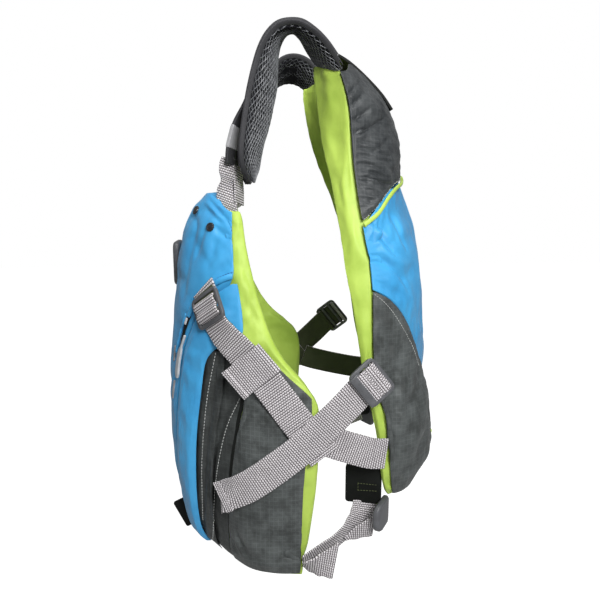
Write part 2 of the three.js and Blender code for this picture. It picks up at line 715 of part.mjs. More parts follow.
function roundedOutline(long, wide, radius) {
  const shape = new THREE.Shape();
  const a = long / 2;
  const b = wide / 2;
  shape.moveTo(-a + radius, -b);
  shape.lineTo(a - radius, -b);
  shape.absarc(a - radius, -b + radius, radius, -Math.PI / 2, 0);
  shape.lineTo(a, b - radius);
  shape.absarc(a - radius, b - radius, radius, 0, Math.PI / 2);
  shape.lineTo(-a + radius, b);
  shape.absarc(-a + radius, b - radius, radius, Math.PI / 2, Math.PI);
  shape.lineTo(-a, -b + radius);
  shape.absarc(-a + radius, -b + radius, radius, Math.PI, Math.PI * 1.5);
  return shape;
}

// Shared points and triangles of a geometry
function welded(geometry) {
  const bare = geometry.clone();
  bare.deleteAttribute('normal');
  bare.deleteAttribute('uv');
  return mergeVertices(bare, MERGE);
}

function solidOf(geometry) {
  const bare = welded(geometry);
  return new wasm.Manifold(new wasm.Mesh({
    numProp: 3,
    vertProperties: new Float32Array(bare.getAttribute('position').array),
    triVerts: new Uint32Array(bare.index.array),
  }));
}

function geometryOf(solid) {
  const { vertProperties, triVerts } = solid.getMesh();
  const geometry = new THREE.BufferGeometry();
  geometry.setAttribute('position', new THREE.Float32BufferAttribute(vertProperties, 3));
  geometry.setIndex(Array.from(triVerts));
  return geometry;
}

// Places a flat solid (along, across, out) on three axes at one side of the vest
function placed(name, material, geometry, axes, side, bow = 0, wide = 1) {
  const bare = welded(geometry);
  const position = bare.getAttribute('position');
  const points = [];
  for (let i = 0; i < position.count; i += 1) {
    const local = new THREE.Vector3().fromBufferAttribute(position, i);
    const lift = local.z - bow * (2 * local.y / wide) ** 2;
    const point = axes.at.clone()
      .addScaledVector(axes.along, local.x)
      .addScaledVector(axes.across, local.y)
      .addScaledVector(axes.out, lift);
    points.push(mirrored(point, side));
  }
  const triangles = [];
  for (let i = 0; i < bare.index.count; i += 3) {
    const corners = [0, 1, 2].map((k) => bare.index.getX(i + k));
    if (new Set(corners).size === 3) {
      triangles.push(corners);
    }
  }
  return closedMesh(name, material, points, triangles);
}

function ladderLock(name, lock, side) {
  const outline = roundedOutline(LOCK.long, LOCK.wide, LOCK.corner);
  const flat = { depth: LOCK.thick, bevelEnabled: false, curveSegments: 3 };
  const frame = new THREE.ExtrudeGeometry(outline, flat);
  const opening = LOCK.wide - 2 * LOCK.side;
  const end = LOCK.long / 2 - LOCK.endBar;
  const bar = end - LOCK.slot;
  const middle = bar - LOCK.innerBar;
  let solid = solidOf(frame);
  for (const [from, to] of [[-end, -bar], [-middle, middle], [bar, end]]) {
    const slot = new THREE.BoxGeometry(to - from, opening, 3 * LOCK.thick);
    slot.translate((from + to) / 2, 0, LOCK.thick / 2);
    solid = solid.subtract(solidOf(slot));
  }
  return placed(name, MATERIALS.plastic, geometryOf(solid), lockAxes(lock), side);
}

// Moulded piece with rounded corners and chamfered edges
function moulded(name, material, size, axes, side, bow = 0) {
  const bevel = size.thick / 4;
  const shape = roundedOutline(size.long - 2 * bevel, size.wide - 2 * bevel, size.corner);
  const geometry = new THREE.ExtrudeGeometry(shape, {
    depth: size.thick - 2 * bevel,
    bevelEnabled: true,
    bevelThickness: bevel,
    bevelSize: bevel,
    bevelSegments: 1,
    curveSegments: 2,
  });
  geometry.translate(0, 0, bevel);
  return placed(name, material, geometry, axes, side, bow, size.wide);
}

// Flat piece of cloth with cut corners
function clothPlate(name, material, size, axes, side) {
  const shape = roundedOutline(size.long, size.wide, size.corner);
  const flat = { depth: size.thick, bevelEnabled: false, curveSegments: 1 };
  const geometry = new THREE.ExtrudeGeometry(shape, flat);
  return placed(name, material, geometry, axes, side);
}

function sideHarness(tag, side) {
  const upper = [
    ...routePoints(UPPER_END),
    ...weavePlaces(FRONT_LOCK),
    ...routePoints(UPPER_ROUTE),
  ];
  const cross = [
    ...routePoints(CROSS_ROUTE),
    ...weavePlaces(REAR_LOCK).slice(0, -1),
    ...routePoints(CROSS_END, side),
  ];
  return [
    ribbon(`side_strap_upper_${tag}`, MATERIALS.webbing, upper, WEBBING, side),
    ribbon(`side_strap_cross_${tag}`, MATERIALS.webbing, cross, WEBBING, side),
    ribbon(`side_strap_rear_${tag}`, MATERIALS.webbing, routePoints(REAR_ROUTE, side, 30, 77), WEBBING, side),
    ladderLock(`front_ladder_lock_${tag}`, FRONT_LOCK, side),
    ladderLock(`rear_ladder_lock_${tag}`, REAR_LOCK, side),
    strapKeeper(tag, side),
  ];
}

// Webbing sleeve across the upper strap, with one loose end
function strapKeeper(tag, side) {
  const places = routePoints(UPPER_ROUTE);
  const row = places[KEEPER.row];
  const along = places[KEEPER.row + 1].at.clone().sub(places[KEEPER.row - 1].at).normalize();
  const across = new THREE.Vector3().crossVectors(row.out, along).normalize();
  const out = new THREE.Vector3().crossVectors(along, across).normalize();
  const over = WEBBING.thick + KEEPER.gap;
  const half = WEBBING.width / 2 + 2;
  const way = table('wide lift', [
    [-half - KEEPER.tail, over - 0.6],
    [-half, over],
    [0, over + 0.4],
    [half - 1, over],
    [half + 1.5, over - 2.4],
  ]);
  const rows = way.map(({ wide, lift }) => ({
    at: row.at.clone().addScaledVector(across, wide).addScaledVector(out, lift),
    across: along,
  }));
  const size = { width: KEEPER.long, thick: KEEPER.thick };
  return ribbon(`strap_keeper_${tag}`, MATERIALS.webbing, rows, size, side);
}

function waistPieces(tag, side) {
  const axes = (piece, alongUp) => {
    const out = facing({ facing: piece.facing, tilt: 0 });
    const along = new THREE.Vector3(0, 0, alongUp);
    const at = new THREE.Vector3(...piece.at);
    at.y += side < 0 ? ARM_HOLE.back : 0;
    return { at, out, along, across: new THREE.Vector3().crossVectors(out, along) };
  };
  const route = routePoints(WAIST_ROUTE, side, 0, 69);
  const sleeve = { long: WAIST_SLEEVE.tall, wide: WAIST_SLEEVE.wide, thick: WAIST_SLEEVE.thick, corner: 3 };
  return [
    ribbon(`waist_strap_${tag}`, MATERIALS.webbing, route, WAIST_WEBBING, side),
    clothPlate(`waist_sleeve_${tag}`, MATERIALS.black, sleeve, axes(WAIST_SLEEVE, -1), side),
    moulded(`waist_buckle_${tag}`, MATERIALS.plastic, WAIST_BUCKLE, axes(WAIST_BUCKLE, -1), side, 3),
  ];
}

function shoulderFront(tag, side) {
  return [
    ribbon(`shoulder_tab_${tag}`, MATERIALS.charcoal, routePoints(TAB_ROUTE), TAB, side),
    ribbon(`shoulder_webbing_${tag}`, MATERIALS.webbing, routePoints(SHOULDER_ROUTE), SHOULDER_WEBBING, side),
  ];
}

function eyelet(tag, side, row) {
  const face = (turn, height) => frontPoint(turn, height, 1, SKIN).point;
  const round = face(row.turn + 1, row.height).sub(face(row.turn - 1, row.height));
  const rise = face(row.turn, row.height + 1).sub(face(row.turn, row.height - 1));
  const normal = new THREE.Vector3().crossVectors(round, rise).normalize();
  const point = face(row.turn, row.height).addScaledVector(normal, CLEAR / 2);
  const profile = [
    new THREE.Vector2(EYELET.inner, 0),
    new THREE.Vector2(EYELET.outer, 0),
    new THREE.Vector2(EYELET.outer - 0.6, EYELET.thick),
    new THREE.Vector2(EYELET.inner, EYELET.thick),
    new THREE.Vector2(EYELET.inner, 0),
  ];
  const geometry = new THREE.LatheGeometry(profile, 10).toNonIndexed();
  geometry.rotateX(Math.PI / 2);
  const across = new THREE.Vector3().crossVectors(normal, rise).normalize();
  const along = new THREE.Vector3().crossVectors(across, normal);
  const axes = { at: point, along, across, out: normal };
  return placed(`${row.name}_${tag}`, MATERIALS.black, geometry, axes, side);
}

function zipPull(tag, side) {
  const rows = steps(PULL.top, PULL.foot, 3).map((height) => {
    const { point, normal } = frontPoint(zipAt(height) + PULL.tilt, height, 1, SKIN + PULL.thick / 2 + CLEAR);
    return { at: point, out: normal };
  });
  return ribbon(`zip_pull_${tag}`, MATERIALS.pale, rows, PULL, side);
}

function frontTrim() {
  const facingFront = {
    at: new THREE.Vector3(0, CHEST_BUCKLE.y, CHEST_BUCKLE.z),
    along: new THREE.Vector3(1, 0, 0),
    across: new THREE.Vector3(0, 0, 1),
    out: new THREE.Vector3(0, -1, 0),
  };
  const buckle = { ...CHEST_BUCKLE, long: CHEST_BUCKLE.wide, wide: CHEST_BUCKLE.tall };
  const tilt = THREE.MathUtils.degToRad(HEM_TAB.tilt);
  const tabAxes = {
    at: new THREE.Vector3(HEM_TAB.x, HEM_TAB.y, HEM_TAB.z),
    along: new THREE.Vector3(0, Math.sin(tilt), -Math.cos(tilt)),
    across: new THREE.Vector3(0, -Math.cos(tilt), -Math.sin(tilt)),
    out: new THREE.Vector3(1, 0, 0),
  };
  const hemTab = { long: HEM_TAB.long, wide: HEM_TAB.deep, thick: HEM_TAB.thick, corner: 2 };
  const lean = THREE.MathUtils.degToRad(BACK_TAG.lean);
  const tagAxes = {
    at: new THREE.Vector3(BACK_TAG.x, BACK_TAG.y, BACK_TAG.z),
    along: new THREE.Vector3(0, Math.sin(lean), Math.cos(lean)),
    across: new THREE.Vector3(1, 0, 0),
    out: new THREE.Vector3(0, Math.cos(lean), -Math.sin(lean)),
  };
  const backTag = { long: BACK_TAG.tall, wide: BACK_TAG.wide, thick: BACK_TAG.thick, corner: 2 };
  return [
    moulded('chest_buckle', MATERIALS.plastic, buckle, facingFront, 1),
    clothPlate('hem_tab', MATERIALS.black, hemTab, tabAxes, 1),
    clothPlate('back_tag', MATERIALS.lime, backTag, tagAxes, 1),
  ];
}

const vest = new THREE.Group();
vest.position.set(0, -SHOULDER_REST.y, -SHOULDER_REST.z);
const abovePiping = (turn) => pipingAt(turn) + PIPING.width / 2;
const belowPiping = (turn) => pipingAt(turn) - PIPING.width / 2;
const aboveSeam = (turn) => seamAt(turn) + CLEAR;
const belowSeam = (turn) => seamAt(turn) - CLEAR;
vest.add(
  backLining(),
  backCover('back_upper', MATERIALS.charcoal, abovePiping, () => COVER.top, 7),
  backCover('back_middle', MATERIALS.blue, aboveSeam, belowPiping, 6),
  backCover('back_lower', MATERIALS.heather, () => COVER.foot, belowSeam, 7),
  backPiping(),
  backFlap(),
  centreZip(),
  ...frontTrim(),
);
for (const [tag, side, rows] of [['left', 1, STRAP_LEFT], ['right', -1, STRAP_RIGHT]]) {
  vest.add(
    frontLining(tag, side),
    frontChest(tag, side),
    pocketFace(tag, side),
    pocketPleat(tag, side, true),
    pocketPleat(tag, side, false),
    frontSide(tag, side),
    pocketZip(tag, side),
    zipPull(tag, side),
    ...EYELETS.map((row) => eyelet(tag, side, row)),
    shoulderPad(tag, side, rows),
    shoulderCover(tag, side, rows),
    ...shoulderFront(tag, side),
    ...sideHarness(tag, side),
    ...waistPieces(tag, side),
  );
}

const model = new THREE.Group();
model.add(vest);
export default model;
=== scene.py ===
"""Looks of an empty paddling vest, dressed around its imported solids.

The vest is split into the sub-assemblies that a maker would sew: two front halves, the closure between
them, the back panel, two shoulder straps and two side harnesses. Each is a class with its sizes as
fields. Fields that end in _mm are millimetres. Every mesh is in metres, in the frame of the solids.
"""

import logging
import math
from contextlib import contextmanager
from dataclasses import dataclass, field
from enum import Enum
from functools import cache
from typing import Any, Callable, Iterator, Optional, Sequence, Union

import bmesh
import bpy
import numpy as np
from mathutils import Matrix, Vector, noise
from mathutils.bvhtree import BVHTree


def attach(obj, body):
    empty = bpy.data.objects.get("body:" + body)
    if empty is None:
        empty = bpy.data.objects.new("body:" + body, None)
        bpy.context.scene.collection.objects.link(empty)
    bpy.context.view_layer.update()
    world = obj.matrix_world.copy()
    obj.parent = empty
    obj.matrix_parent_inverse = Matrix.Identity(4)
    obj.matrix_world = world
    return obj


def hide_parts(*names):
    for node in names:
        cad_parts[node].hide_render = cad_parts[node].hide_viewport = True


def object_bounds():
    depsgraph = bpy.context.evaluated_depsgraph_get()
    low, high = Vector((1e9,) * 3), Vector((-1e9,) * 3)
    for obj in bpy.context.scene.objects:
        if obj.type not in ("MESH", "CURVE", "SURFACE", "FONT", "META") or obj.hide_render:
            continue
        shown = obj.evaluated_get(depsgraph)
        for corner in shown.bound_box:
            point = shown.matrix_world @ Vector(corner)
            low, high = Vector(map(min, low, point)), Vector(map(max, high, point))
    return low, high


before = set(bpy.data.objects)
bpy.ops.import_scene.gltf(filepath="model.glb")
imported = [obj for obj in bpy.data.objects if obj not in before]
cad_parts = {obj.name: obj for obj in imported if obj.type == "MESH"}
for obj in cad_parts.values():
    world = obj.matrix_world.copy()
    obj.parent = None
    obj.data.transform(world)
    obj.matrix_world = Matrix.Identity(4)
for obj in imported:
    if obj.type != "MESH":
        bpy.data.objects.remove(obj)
CAD_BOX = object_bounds()

LOG = logging.getLogger("vest")
MM = 0.001
ROOT = "root"
SAME_POINT = 2e-6

FLIP = Vector((-1, 1, 1))

Colour = tuple[float, float, float]
Pixel = tuple[float, float]
Pixels = Sequence[Pixel]
Line = Sequence[Vector]
Lines = Sequence[Line]
Piece = bpy.types.Object
Tree = bpy.types.NodeTree
Socket = bpy.types.NodeSocket
Wire = Union[Socket, float, Colour]
Sockets = dict[str, Socket]


class Side(Enum):
    """Side of the wearer."""

    LEFT = 1
    RIGHT = -1

    @property
    def tag(self) -> str:
        """Ending of the names of this side's pieces."""
        return self.name.lower()


class Pattern(Enum):
    """How a cloth is woven."""

    PLAIN = "plain"
    RIPSTOP = "ripstop"


# Camera


@dataclass(frozen=True)
class PhotoCamera:
    """The photograph's camera, which also places trim by pixel."""

    place: Vector = Vector((0.6933, -0.0354, -0.1537))
    target: Vector = Vector((0.0, 0.014, -0.283))
    focal_px: float = 590.0
    picture_px: float = 600.0
    sensor_mm: float = 36.0

    def axes(self) -> tuple[Vector, Vector, Vector]:
        """Returns the camera's forward, right and up directions."""
        forward = (self.target - self.place).normalized()
        right = forward.cross(Vector((0, 0, 1))).normalized()
        return forward, right, right.cross(forward)

    def ray(self, pixel: Pixel) -> Vector:
        """Returns the direction from the camera through a pixel of the picture."""
        forward, right, up = self.axes()
        middle = self.picture_px / 2
        return (forward * self.focal_px + right * (pixel[0] - middle) + up * (middle - pixel[1])).normalized()

    def point(self, pixel: Pixel, depth: float) -> Vector:
        """Returns the place behind a pixel at a depth along the view."""
        ray = self.ray(pixel)
        return self.place + ray * (depth / ray.dot(self.axes()[0]))

    def make(self) -> None:
        """Adds the camera to the scene and makes it the active one."""
        data = bpy.data.cameras.new("photo_camera")
        data.sensor_width = self.sensor_mm
        data.lens = self.focal_px / self.picture_px * self.sensor_mm
        data.clip_start = 0.01
        camera = bpy.data.objects.new("photo_camera", data)
        camera.location = self.place
        camera.rotation_euler = (self.target - self.place).to_track_quat("-Z", "Y").to_euler()
        bpy.context.scene.collection.objects.link(camera)
        bpy.context.scene.camera = camera


CAMERA = PhotoCamera()


# Modelling helpers


class Bench:
    """Work on one piece at a time, as by hand."""

    @staticmethod
    def alone(piece: Piece) -> None:
        """Selects one piece and nothing else."""
        bpy.ops.object.select_all(action="DESELECT")
        piece.select_set(True)
        bpy.context.view_layer.objects.active = piece

    @staticmethod
    @contextmanager
    def editing(piece: Piece, select: Optional[str] = "SELECT") -> Iterator[None]:
        """Keeps a piece in edit mode for as long as the with statement lasts.

        Args:
            piece: The piece to edit.
            select: What happens to its selection first, or None to keep it.
        """
        Bench.alone(piece)
        bpy.ops.object.mode_set(mode="EDIT")
        if select is not None:
            bpy.ops.mesh.select_all(action=select)
        yield
        bpy.ops.object.mode_set(mode="OBJECT")

    @staticmethod
    def modifier(piece: Piece, kind: str, **settings: Any) -> None:
        """Adds a modifier to a piece and applies it.

        Args:
            piece: The piece to change.
            kind: Blender's name of the modifier's type.
            settings: The modifier's values.
        """
        Bench.alone(piece)
        modifier = piece.modifiers.new(kind.lower(), kind)
        for name, value in settings.items():
            setattr(modifier, name, value)
        bpy.ops.object.modifier_apply(modifier=modifier.name)

    @staticmethod
    def subdivide(piece: Piece, levels: int) -> None:
        """Rounds a piece with a subdivision surface."""
        Bench.modifier(piece, "SUBSURF", levels=levels, render_levels=levels)

    @staticmethod
    def bevel(piece: Piece, width_mm: float, segments: int, sharp_deg: float) -> None:
        """Rounds those edges of a piece that are sharper than an angle."""
        limit = math.radians(sharp_deg)
        Bench.modifier(
            piece, "BEVEL", width=width_mm * MM, segments=segments, limit_method="ANGLE", angle_limit=limit
        )

    @staticmethod
    def copy_node(node: str, name: str) -> Piece:
        """Copies a solid's mesh into a new piece, with its points merged and its triangles paired.

        Args:
            node: Name of the solid.
            name: Name of the new piece.

        Returns:
            The new piece.
        """
        piece = bpy.data.objects.new(name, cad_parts[node].data.copy())
        piece.data.name = name
        piece.data.materials.clear()
        bpy.context.scene.collection.objects.link(piece)
        Bench.alone(piece)
        bpy.ops.mesh.customdata_custom_splitnormals_clear()
        flat, square = math.radians(60), math.radians(120)
        with Bench.editing(piece):
            bpy.ops.mesh.remove_doubles(threshold=SAME_POINT)
            bpy.ops.mesh.tris_convert_to_quads(face_threshold=flat, shape_threshold=square)
        return piece

    @staticmethod
    def grid(name: str, columns: int, rows: int) -> Piece:
        """Adds a unit grid, to be laid along a strap.

        Args:
            name: Name of the new piece.
            columns: Faces across.
            rows: Faces along.

        Returns:
            The new piece, with a UV map.
        """
        bpy.ops.object.select_all(action="DESELECT")
        bpy.ops.mesh.primitive_grid_add(x_subdivisions=columns, y_subdivisions=rows, size=1, calc_uvs=True)
        piece = bpy.context.object
        piece.name = name
        piece.data.name = name
        return piece

    @staticmethod
    def places(piece: Piece, what: str = "co") -> np.ndarray:
        """Reads a vector from each of a piece's points.

        Args:
            piece: The piece to read.
            what: Blender's name of the vector, by default the point's place.

        Returns:
            One row for each point.
        """
        values = np.empty(len(piece.data.vertices) * 3)
        piece.data.vertices.foreach_get(what, values)
        return values.reshape(-1, 3)

    @staticmethod
    def normals(piece: Piece) -> np.ndarray:
        """Returns the directions that a piece's points face."""
        return Bench.places(piece, "normal")

    @staticmethod
    def move_to(piece: Piece, places: np.ndarray) -> None:
        """Moves a piece's points to new places."""
        piece.data.vertices.foreach_set("co", np.asarray(places, float).ravel())
        piece.data.update()

    @staticmethod
    def project_uv(piece: Piece) -> None:
        """Gives a piece a UV map in metres, seen along the axis that each face mostly faces."""
        whole = {"correct_aspect": False, "clip_to_bounds": False, "scale_to_bounds": False}
        with Bench.editing(piece):
            bpy.ops.uv.cube_project(cube_size=1.0, **whole)

    @staticmethod
    def face_out(piece: Piece) -> None:
        """Turns a closed piece's faces outwards."""
        with Bench.editing(piece):
            bpy.ops.mesh.normals_make_consistent(inside=False)

    @staticmethod
    def finish(
        piece: Piece, look: "Finish", replaces: Sequence[str] = (), sharp_deg: float = 60.0
    ) -> Piece:
        """Shades a piece, gives it its material and hangs it on the vest.

        Args:
            piece: The finished mesh.
            look: Its finish.
            replaces: Solids that the piece stands for.
            sharp_deg: Edges sharper than this stay sharp.

        Returns:
            The piece.
        """
        Bench.alone(piece)
        bpy.ops.object.shade_smooth_by_angle(angle=math.radians(sharp_deg))
        piece.data.materials.clear()
        piece.data.materials.append(look.material())
        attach(piece, ROOT)
        if replaces:
            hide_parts(*replaces)
        LOG.info("%s: %d faces", piece.name, len(piece.data.polygons))
        return piece


# Node trees


class Graph:
    """Wires the nodes of one tree."""

    def __init__(self, tree: Tree) -> None:
        """Takes the tree to wire."""
        self.tree = tree

    def add(self, kind: str, **values: Any) -> bpy.types.Node:
        """Adds a node of one of Blender's types, with values as in fill, and returns it."""
        node = self.tree.nodes.new(kind)
        self.fill(node, **values)
        return node

    def fill(self, node: bpy.types.Node, **values: Any) -> None:
        """Sets what a node holds.

        Args:
            node: The node.
            values: Its properties, or values and links of its inputs, with _ for a blank.
        """
        for name, value in values.items():
            if hasattr(node, name):
                setattr(node, name, value)
            else:
                self.feed(node.inputs[name.replace("_", " ")], value)

    def feed(self, socket: Socket, value: Wire) -> None:
        """Links a socket to another one, or sets its value.

        Args:
            socket: The socket to feed.
            value: What it gets.
        """
        if isinstance(value, Socket):
            self.tree.links.new(value, socket)
        elif isinstance(value, tuple) and len(value) == 3 and socket.type == "RGBA":
            socket.default_value = (*value, 1.0)
        else:
            socket.default_value = value

    def math(self, operation: str, *values: Wire) -> Socket:
        """Adds a Math node.

        Args:
            operation: What it does.
            values: What it gets.

        Returns:
            Its result.
        """
        node = self.add("ShaderNodeMath", operation=operation)
        for socket, value in zip(node.inputs, values):
            self.feed(socket, value)
        return node.outputs[0]

    def mix(self, factor: Wire, first: Wire, second: Wire) -> Socket:
        """Mixes two colours.

        Args:
            factor: Share of the second colour.
            first: The first colour.
            second: The second colour.

        Returns:
            The mixed colour.
        """
        node = self.add("ShaderNodeMix", data_type="RGBA")
        for number, value in ((0, factor), (6, first), (7, second)):
            self.feed(node.inputs[number], value)
        return node.outputs[2]

    def ramp(self, factor: Wire, low: Wire, high: Wire) -> Socket:
        """Returns a value that is stretched from between two limits to 0 and 1."""
        node = self.add("ShaderNodeMapRange", interpolation_type="SMOOTHSTEP")
        self.fill(node, Value=factor, From_Min=low, From_Max=high)
        return node.outputs["Result"]

    def xyz(self, vector: Wire) -> tuple[Socket, ...]:
        """Returns the three values of a vector."""
        return tuple(self.add("ShaderNodeSeparateXYZ", Vector=vector).outputs)

    def humps(self, value: Wire) -> Socket:
        """Returns a row of rounded humps, one for each whole step of a value."""
        return self.math("ABSOLUTE", self.math("SINE", self.math("MULTIPLY", value, math.pi)))

    def effect(self, tree: Tree, **values: Wire) -> bpy.types.NodeOutputs:
        """Adds one of the shared effects and returns its outputs."""
        return self.add("ShaderNodeGroup", node_tree=tree, **values).outputs

    def bump(self, shader: bpy.types.Node, height: Wire, strength: float) -> None:
        """Raises a shader's surface by a height in metres."""
        node = self.add("ShaderNodeBump", Height=height, Strength=strength, Distance=1.0)
        self.feed(shader.inputs["Normal"], node.outputs["Normal"])


class Effect:
    """Surface effects that several finishes share, each a node group that is built once."""

    @staticmethod
    def group(name: str, inputs: Sequence[str], outputs: Sequence[str]) -> tuple[Graph, Sockets, Sockets]:
        """Starts a node group.

        Args:
            name: Name of the group.
            inputs: Names of its inputs. One called Vector is a vector and the others are values.
            outputs: Names of its outputs, all values.

        Returns:
            The group's graph, its input sockets and its output sockets by name.
        """
        tree = bpy.data.node_groups.new(name, "ShaderNodeTree")
        for title in inputs:
            kind = "NodeSocketVector" if title == "Vector" else "NodeSocketFloat"
            tree.interface.new_socket(title, in_out="INPUT", socket_type=kind)
        for title in outputs:
            tree.interface.new_socket(title, in_out="OUTPUT", socket_type="NodeSocketFloat")
        entry = tree.nodes.new("NodeGroupInput")
        leave = tree.nodes.new("NodeGroupOutput")
        return Graph(tree), {s.name: s for s in entry.outputs if s.name}, {s.name: s for s in leave.inputs}

    @staticmethod
    @cache
    def weave() -> Tree:
        """Plain weave: yarns that go over and under, as a height.

        Returns:
            The node group.
        """
        g, source, result = Effect.group("plain_weave", ("Vector", "Pitch"), ("Height",))
        u, v = (g.math("DIVIDE", axis, source["Pitch"]) for axis in g.xyz(source["Vector"])[:2])
        turn = g.math("MODULO", g.math("ADD", g.math("FLOOR", u), g.math("FLOOR", v)), 2.0)
        over = g.math("ABSOLUTE", turn)
        under = g.math("SUBTRACT", 1.0, over)
        height = g.math("MULTIPLY_ADD", g.humps(u), over, g.math("MULTIPLY", g.humps(v), under))
        g.feed(result["Height"], height)
        return g.tree

    @staticmethod
    @cache
    def ripstop() -> Tree:
        """Square grid of thicker yarns, as a mask.

        Returns:
            The node group.
        """
        g, source, result = Effect.group("ripstop_grid", ("Vector", "Pitch", "Width"), ("Mask",))
        lines = []
        for axis in g.xyz(source["Vector"])[:2]:
            place = g.math("FRACT", g.math("DIVIDE", axis, source["Pitch"]))
            away = g.math("ABSOLUTE", g.math("SUBTRACT", place, 0.5))
            lines.append(g.math("SUBTRACT", 1.0, g.ramp(away, 0.0, source["Width"])))
        g.feed(result["Mask"], g.math("MAXIMUM", *lines))
        return g.tree

    @staticmethod
    @cache
    def mottle() -> Tree:
        """Uneven dye and light, as a value from 0 to 1."""
        g, source, result = Effect.group("mottled_dye", ("Vector", "Scale"), ("Value",))
        soft = g.add("ShaderNodeTexNoise", **source, Detail=5.0, Roughness=0.65)
        g.feed(result["Value"], g.ramp(soft.outputs[0], 0.3, 0.7))
        return g.tree

    @staticmethod
    @cache
    def crumple() -> Tree:
        """Small soft creases of a worn cloth, as a height."""
        g, source, result = Effect.group("crumpled_cloth", ("Vector", "Scale"), ("Height",))
        bend = g.add("ShaderNodeTexNoise", **source, Detail=3.0, Distortion=0.3)
        g.feed(result["Height"], bend.outputs[0])
        return g.tree

    @staticmethod
    @cache
    def webbing() -> Tree:
        """Rows of yarn humps across a strap, as a height and as a painted shade that darkens the gaps between
        the humps.

        Returns:
            The node group.
        """
        g, source, result = Effect.group("webbing_rows", ("Vector", "Row", "Yarn"), ("Height", "Shade"))
        x, y, _ = g.xyz(source["Vector"])
        row = g.math("DIVIDE", y, source["Row"])
        shift = g.math("MULTIPLY", g.math("MODULO", g.math("FLOOR", row), 2.0), 0.5)
        bead = g.humps(g.math("ADD", g.math("DIVIDE", x, source["Yarn"]), shift))
        height = g.math("MULTIPLY", g.humps(row), g.math("MULTIPLY_ADD", bead, 0.65, 0.35))
        g.feed(result["Height"], height)
        g.feed(result["Shade"], g.ramp(height, 0.15, 0.8))
        return g.tree


# Finishes


def new_material(name: str) -> tuple[bpy.types.Material, Graph, bpy.types.Node]:
    """Starts a material.

    Args:
        name: Name of the material.

    Returns:
        The material, its graph and its Principled shader.
    """
    material = bpy.data.materials.new(name)
    material.use_nodes = True
    graph = Graph(material.node_tree)
    shader = next(n for n in material.node_tree.nodes if n.type == "BSDF_PRINCIPLED")
    return material, graph, shader


@dataclass(frozen=True)
class Finish:
    """What a piece looks like.

    Attributes:
        name: Name of the material.
        slot: The record's material slot.
        colour: Main colour, linear.
        shade: Colour of its patches; for a webbing, the painted shade in the gaps between its rows.
    """

    name: str
    slot: str
    colour: Colour
    shade: Colour

    def material(self) -> bpy.types.Material:
        """Returns the material, which each kind of finish makes in its own way."""
        raise NotImplementedError


@dataclass(frozen=True)
class Cloth(Finish):
    """A woven cloth.

    Attributes:
        rough: Roughness.
        sheen: Weight of the soft sheen.
        pattern: How it is woven.
        line: Colour of ripstop lines.
        crumple_mm: Height of the small creases.
        mottle_scale: How fine the uneven dye is.
        gloss: Specular level.
        weave_mm: Pitch of the yarns.
        grid_mm: Pitch of the ripstop lines.
    """

    rough: float = 0.6
    sheen: float = 0.15
    pattern: Pattern = Pattern.PLAIN
    line: Colour = (0.2, 0.2, 0.2)
    crumple_mm: float = 0.5
    mottle_scale: float = 22.0
    gloss: float = 0.35
    weave_mm: float = 0.9
    grid_mm: float = 4.4

    @cache
    def material(self) -> bpy.types.Material:
        """Makes the material once.

        Returns:
            The material.
        """
        material, g, shader = new_material(self.name)
        place = g.add("ShaderNodeTexCoord").outputs["Object"]
        uv = g.add("ShaderNodeUVMap").outputs["UV"]
        dye = g.effect(Effect.mottle(), Vector=place, Scale=self.mottle_scale)
        colour = g.mix(dye["Value"], self.shade, self.colour)
        weave = g.effect(Effect.weave(), Vector=uv, Pitch=self.weave_mm * MM)
        crease = g.effect(Effect.crumple(), Vector=place, Scale=40.0)
        height = g.math("MULTIPLY", crease["Height"], self.crumple_mm * MM)
        height = g.math("MULTIPLY_ADD", weave["Height"], 0.08 * MM, height)
        if self.pattern is Pattern.RIPSTOP:
            grid = g.effect(Effect.ripstop(), Vector=uv, Pitch=self.grid_mm * MM, Width=0.1)
            fade = g.effect(Effect.mottle(), Vector=place, Scale=60.0)
            share = g.math("MULTIPLY", grid["Mask"], g.math("MULTIPLY_ADD", fade["Value"], 0.7, 0.1))
            colour = g.mix(share, colour, self.line)
            height = g.math("MULTIPLY_ADD", grid["Mask"], 0.1 * MM, height)
        g.bump(shader, height, 0.7)
        g.fill(shader, Base_Color=colour, Roughness=self.rough, Specular_IOR_Level=self.gloss)
        g.fill(shader, Sheen_Weight=self.sheen, Sheen_Roughness=0.4)
        return material


@dataclass(frozen=True)
class WovenTape(Finish):
    """Ribbed webbing, with its rows along the strap's own UV map and painted shade in the gaps between them.
    """

    row_mm: float = 2.4
    yarn_mm: float = 2.6

    @cache
    def material(self) -> bpy.types.Material:
        """Makes the material once.

        Returns:
            The material.
        """
        material, g, shader = new_material(self.name)
        uv = g.add("ShaderNodeUVMap").outputs["UV"]
        place = g.add("ShaderNodeTexCoord").outputs["Object"]
        rows = g.effect(Effect.webbing(), Vector=uv, Row=self.row_mm * MM, Yarn=self.yarn_mm * MM)
        dye = g.effect(Effect.mottle(), Vector=place, Scale=35.0)
        tint = g.mix(dye["Value"], tuple(0.82 * c for c in self.colour), self.colour)
        g.bump(shader, g.math("MULTIPLY", rows["Height"], 0.7 * MM), 0.9)
        g.fill(shader, Base_Color=g.mix(rows["Shade"], self.shade, tint), Roughness=0.62, Sheen_Weight=0.1)
        return material


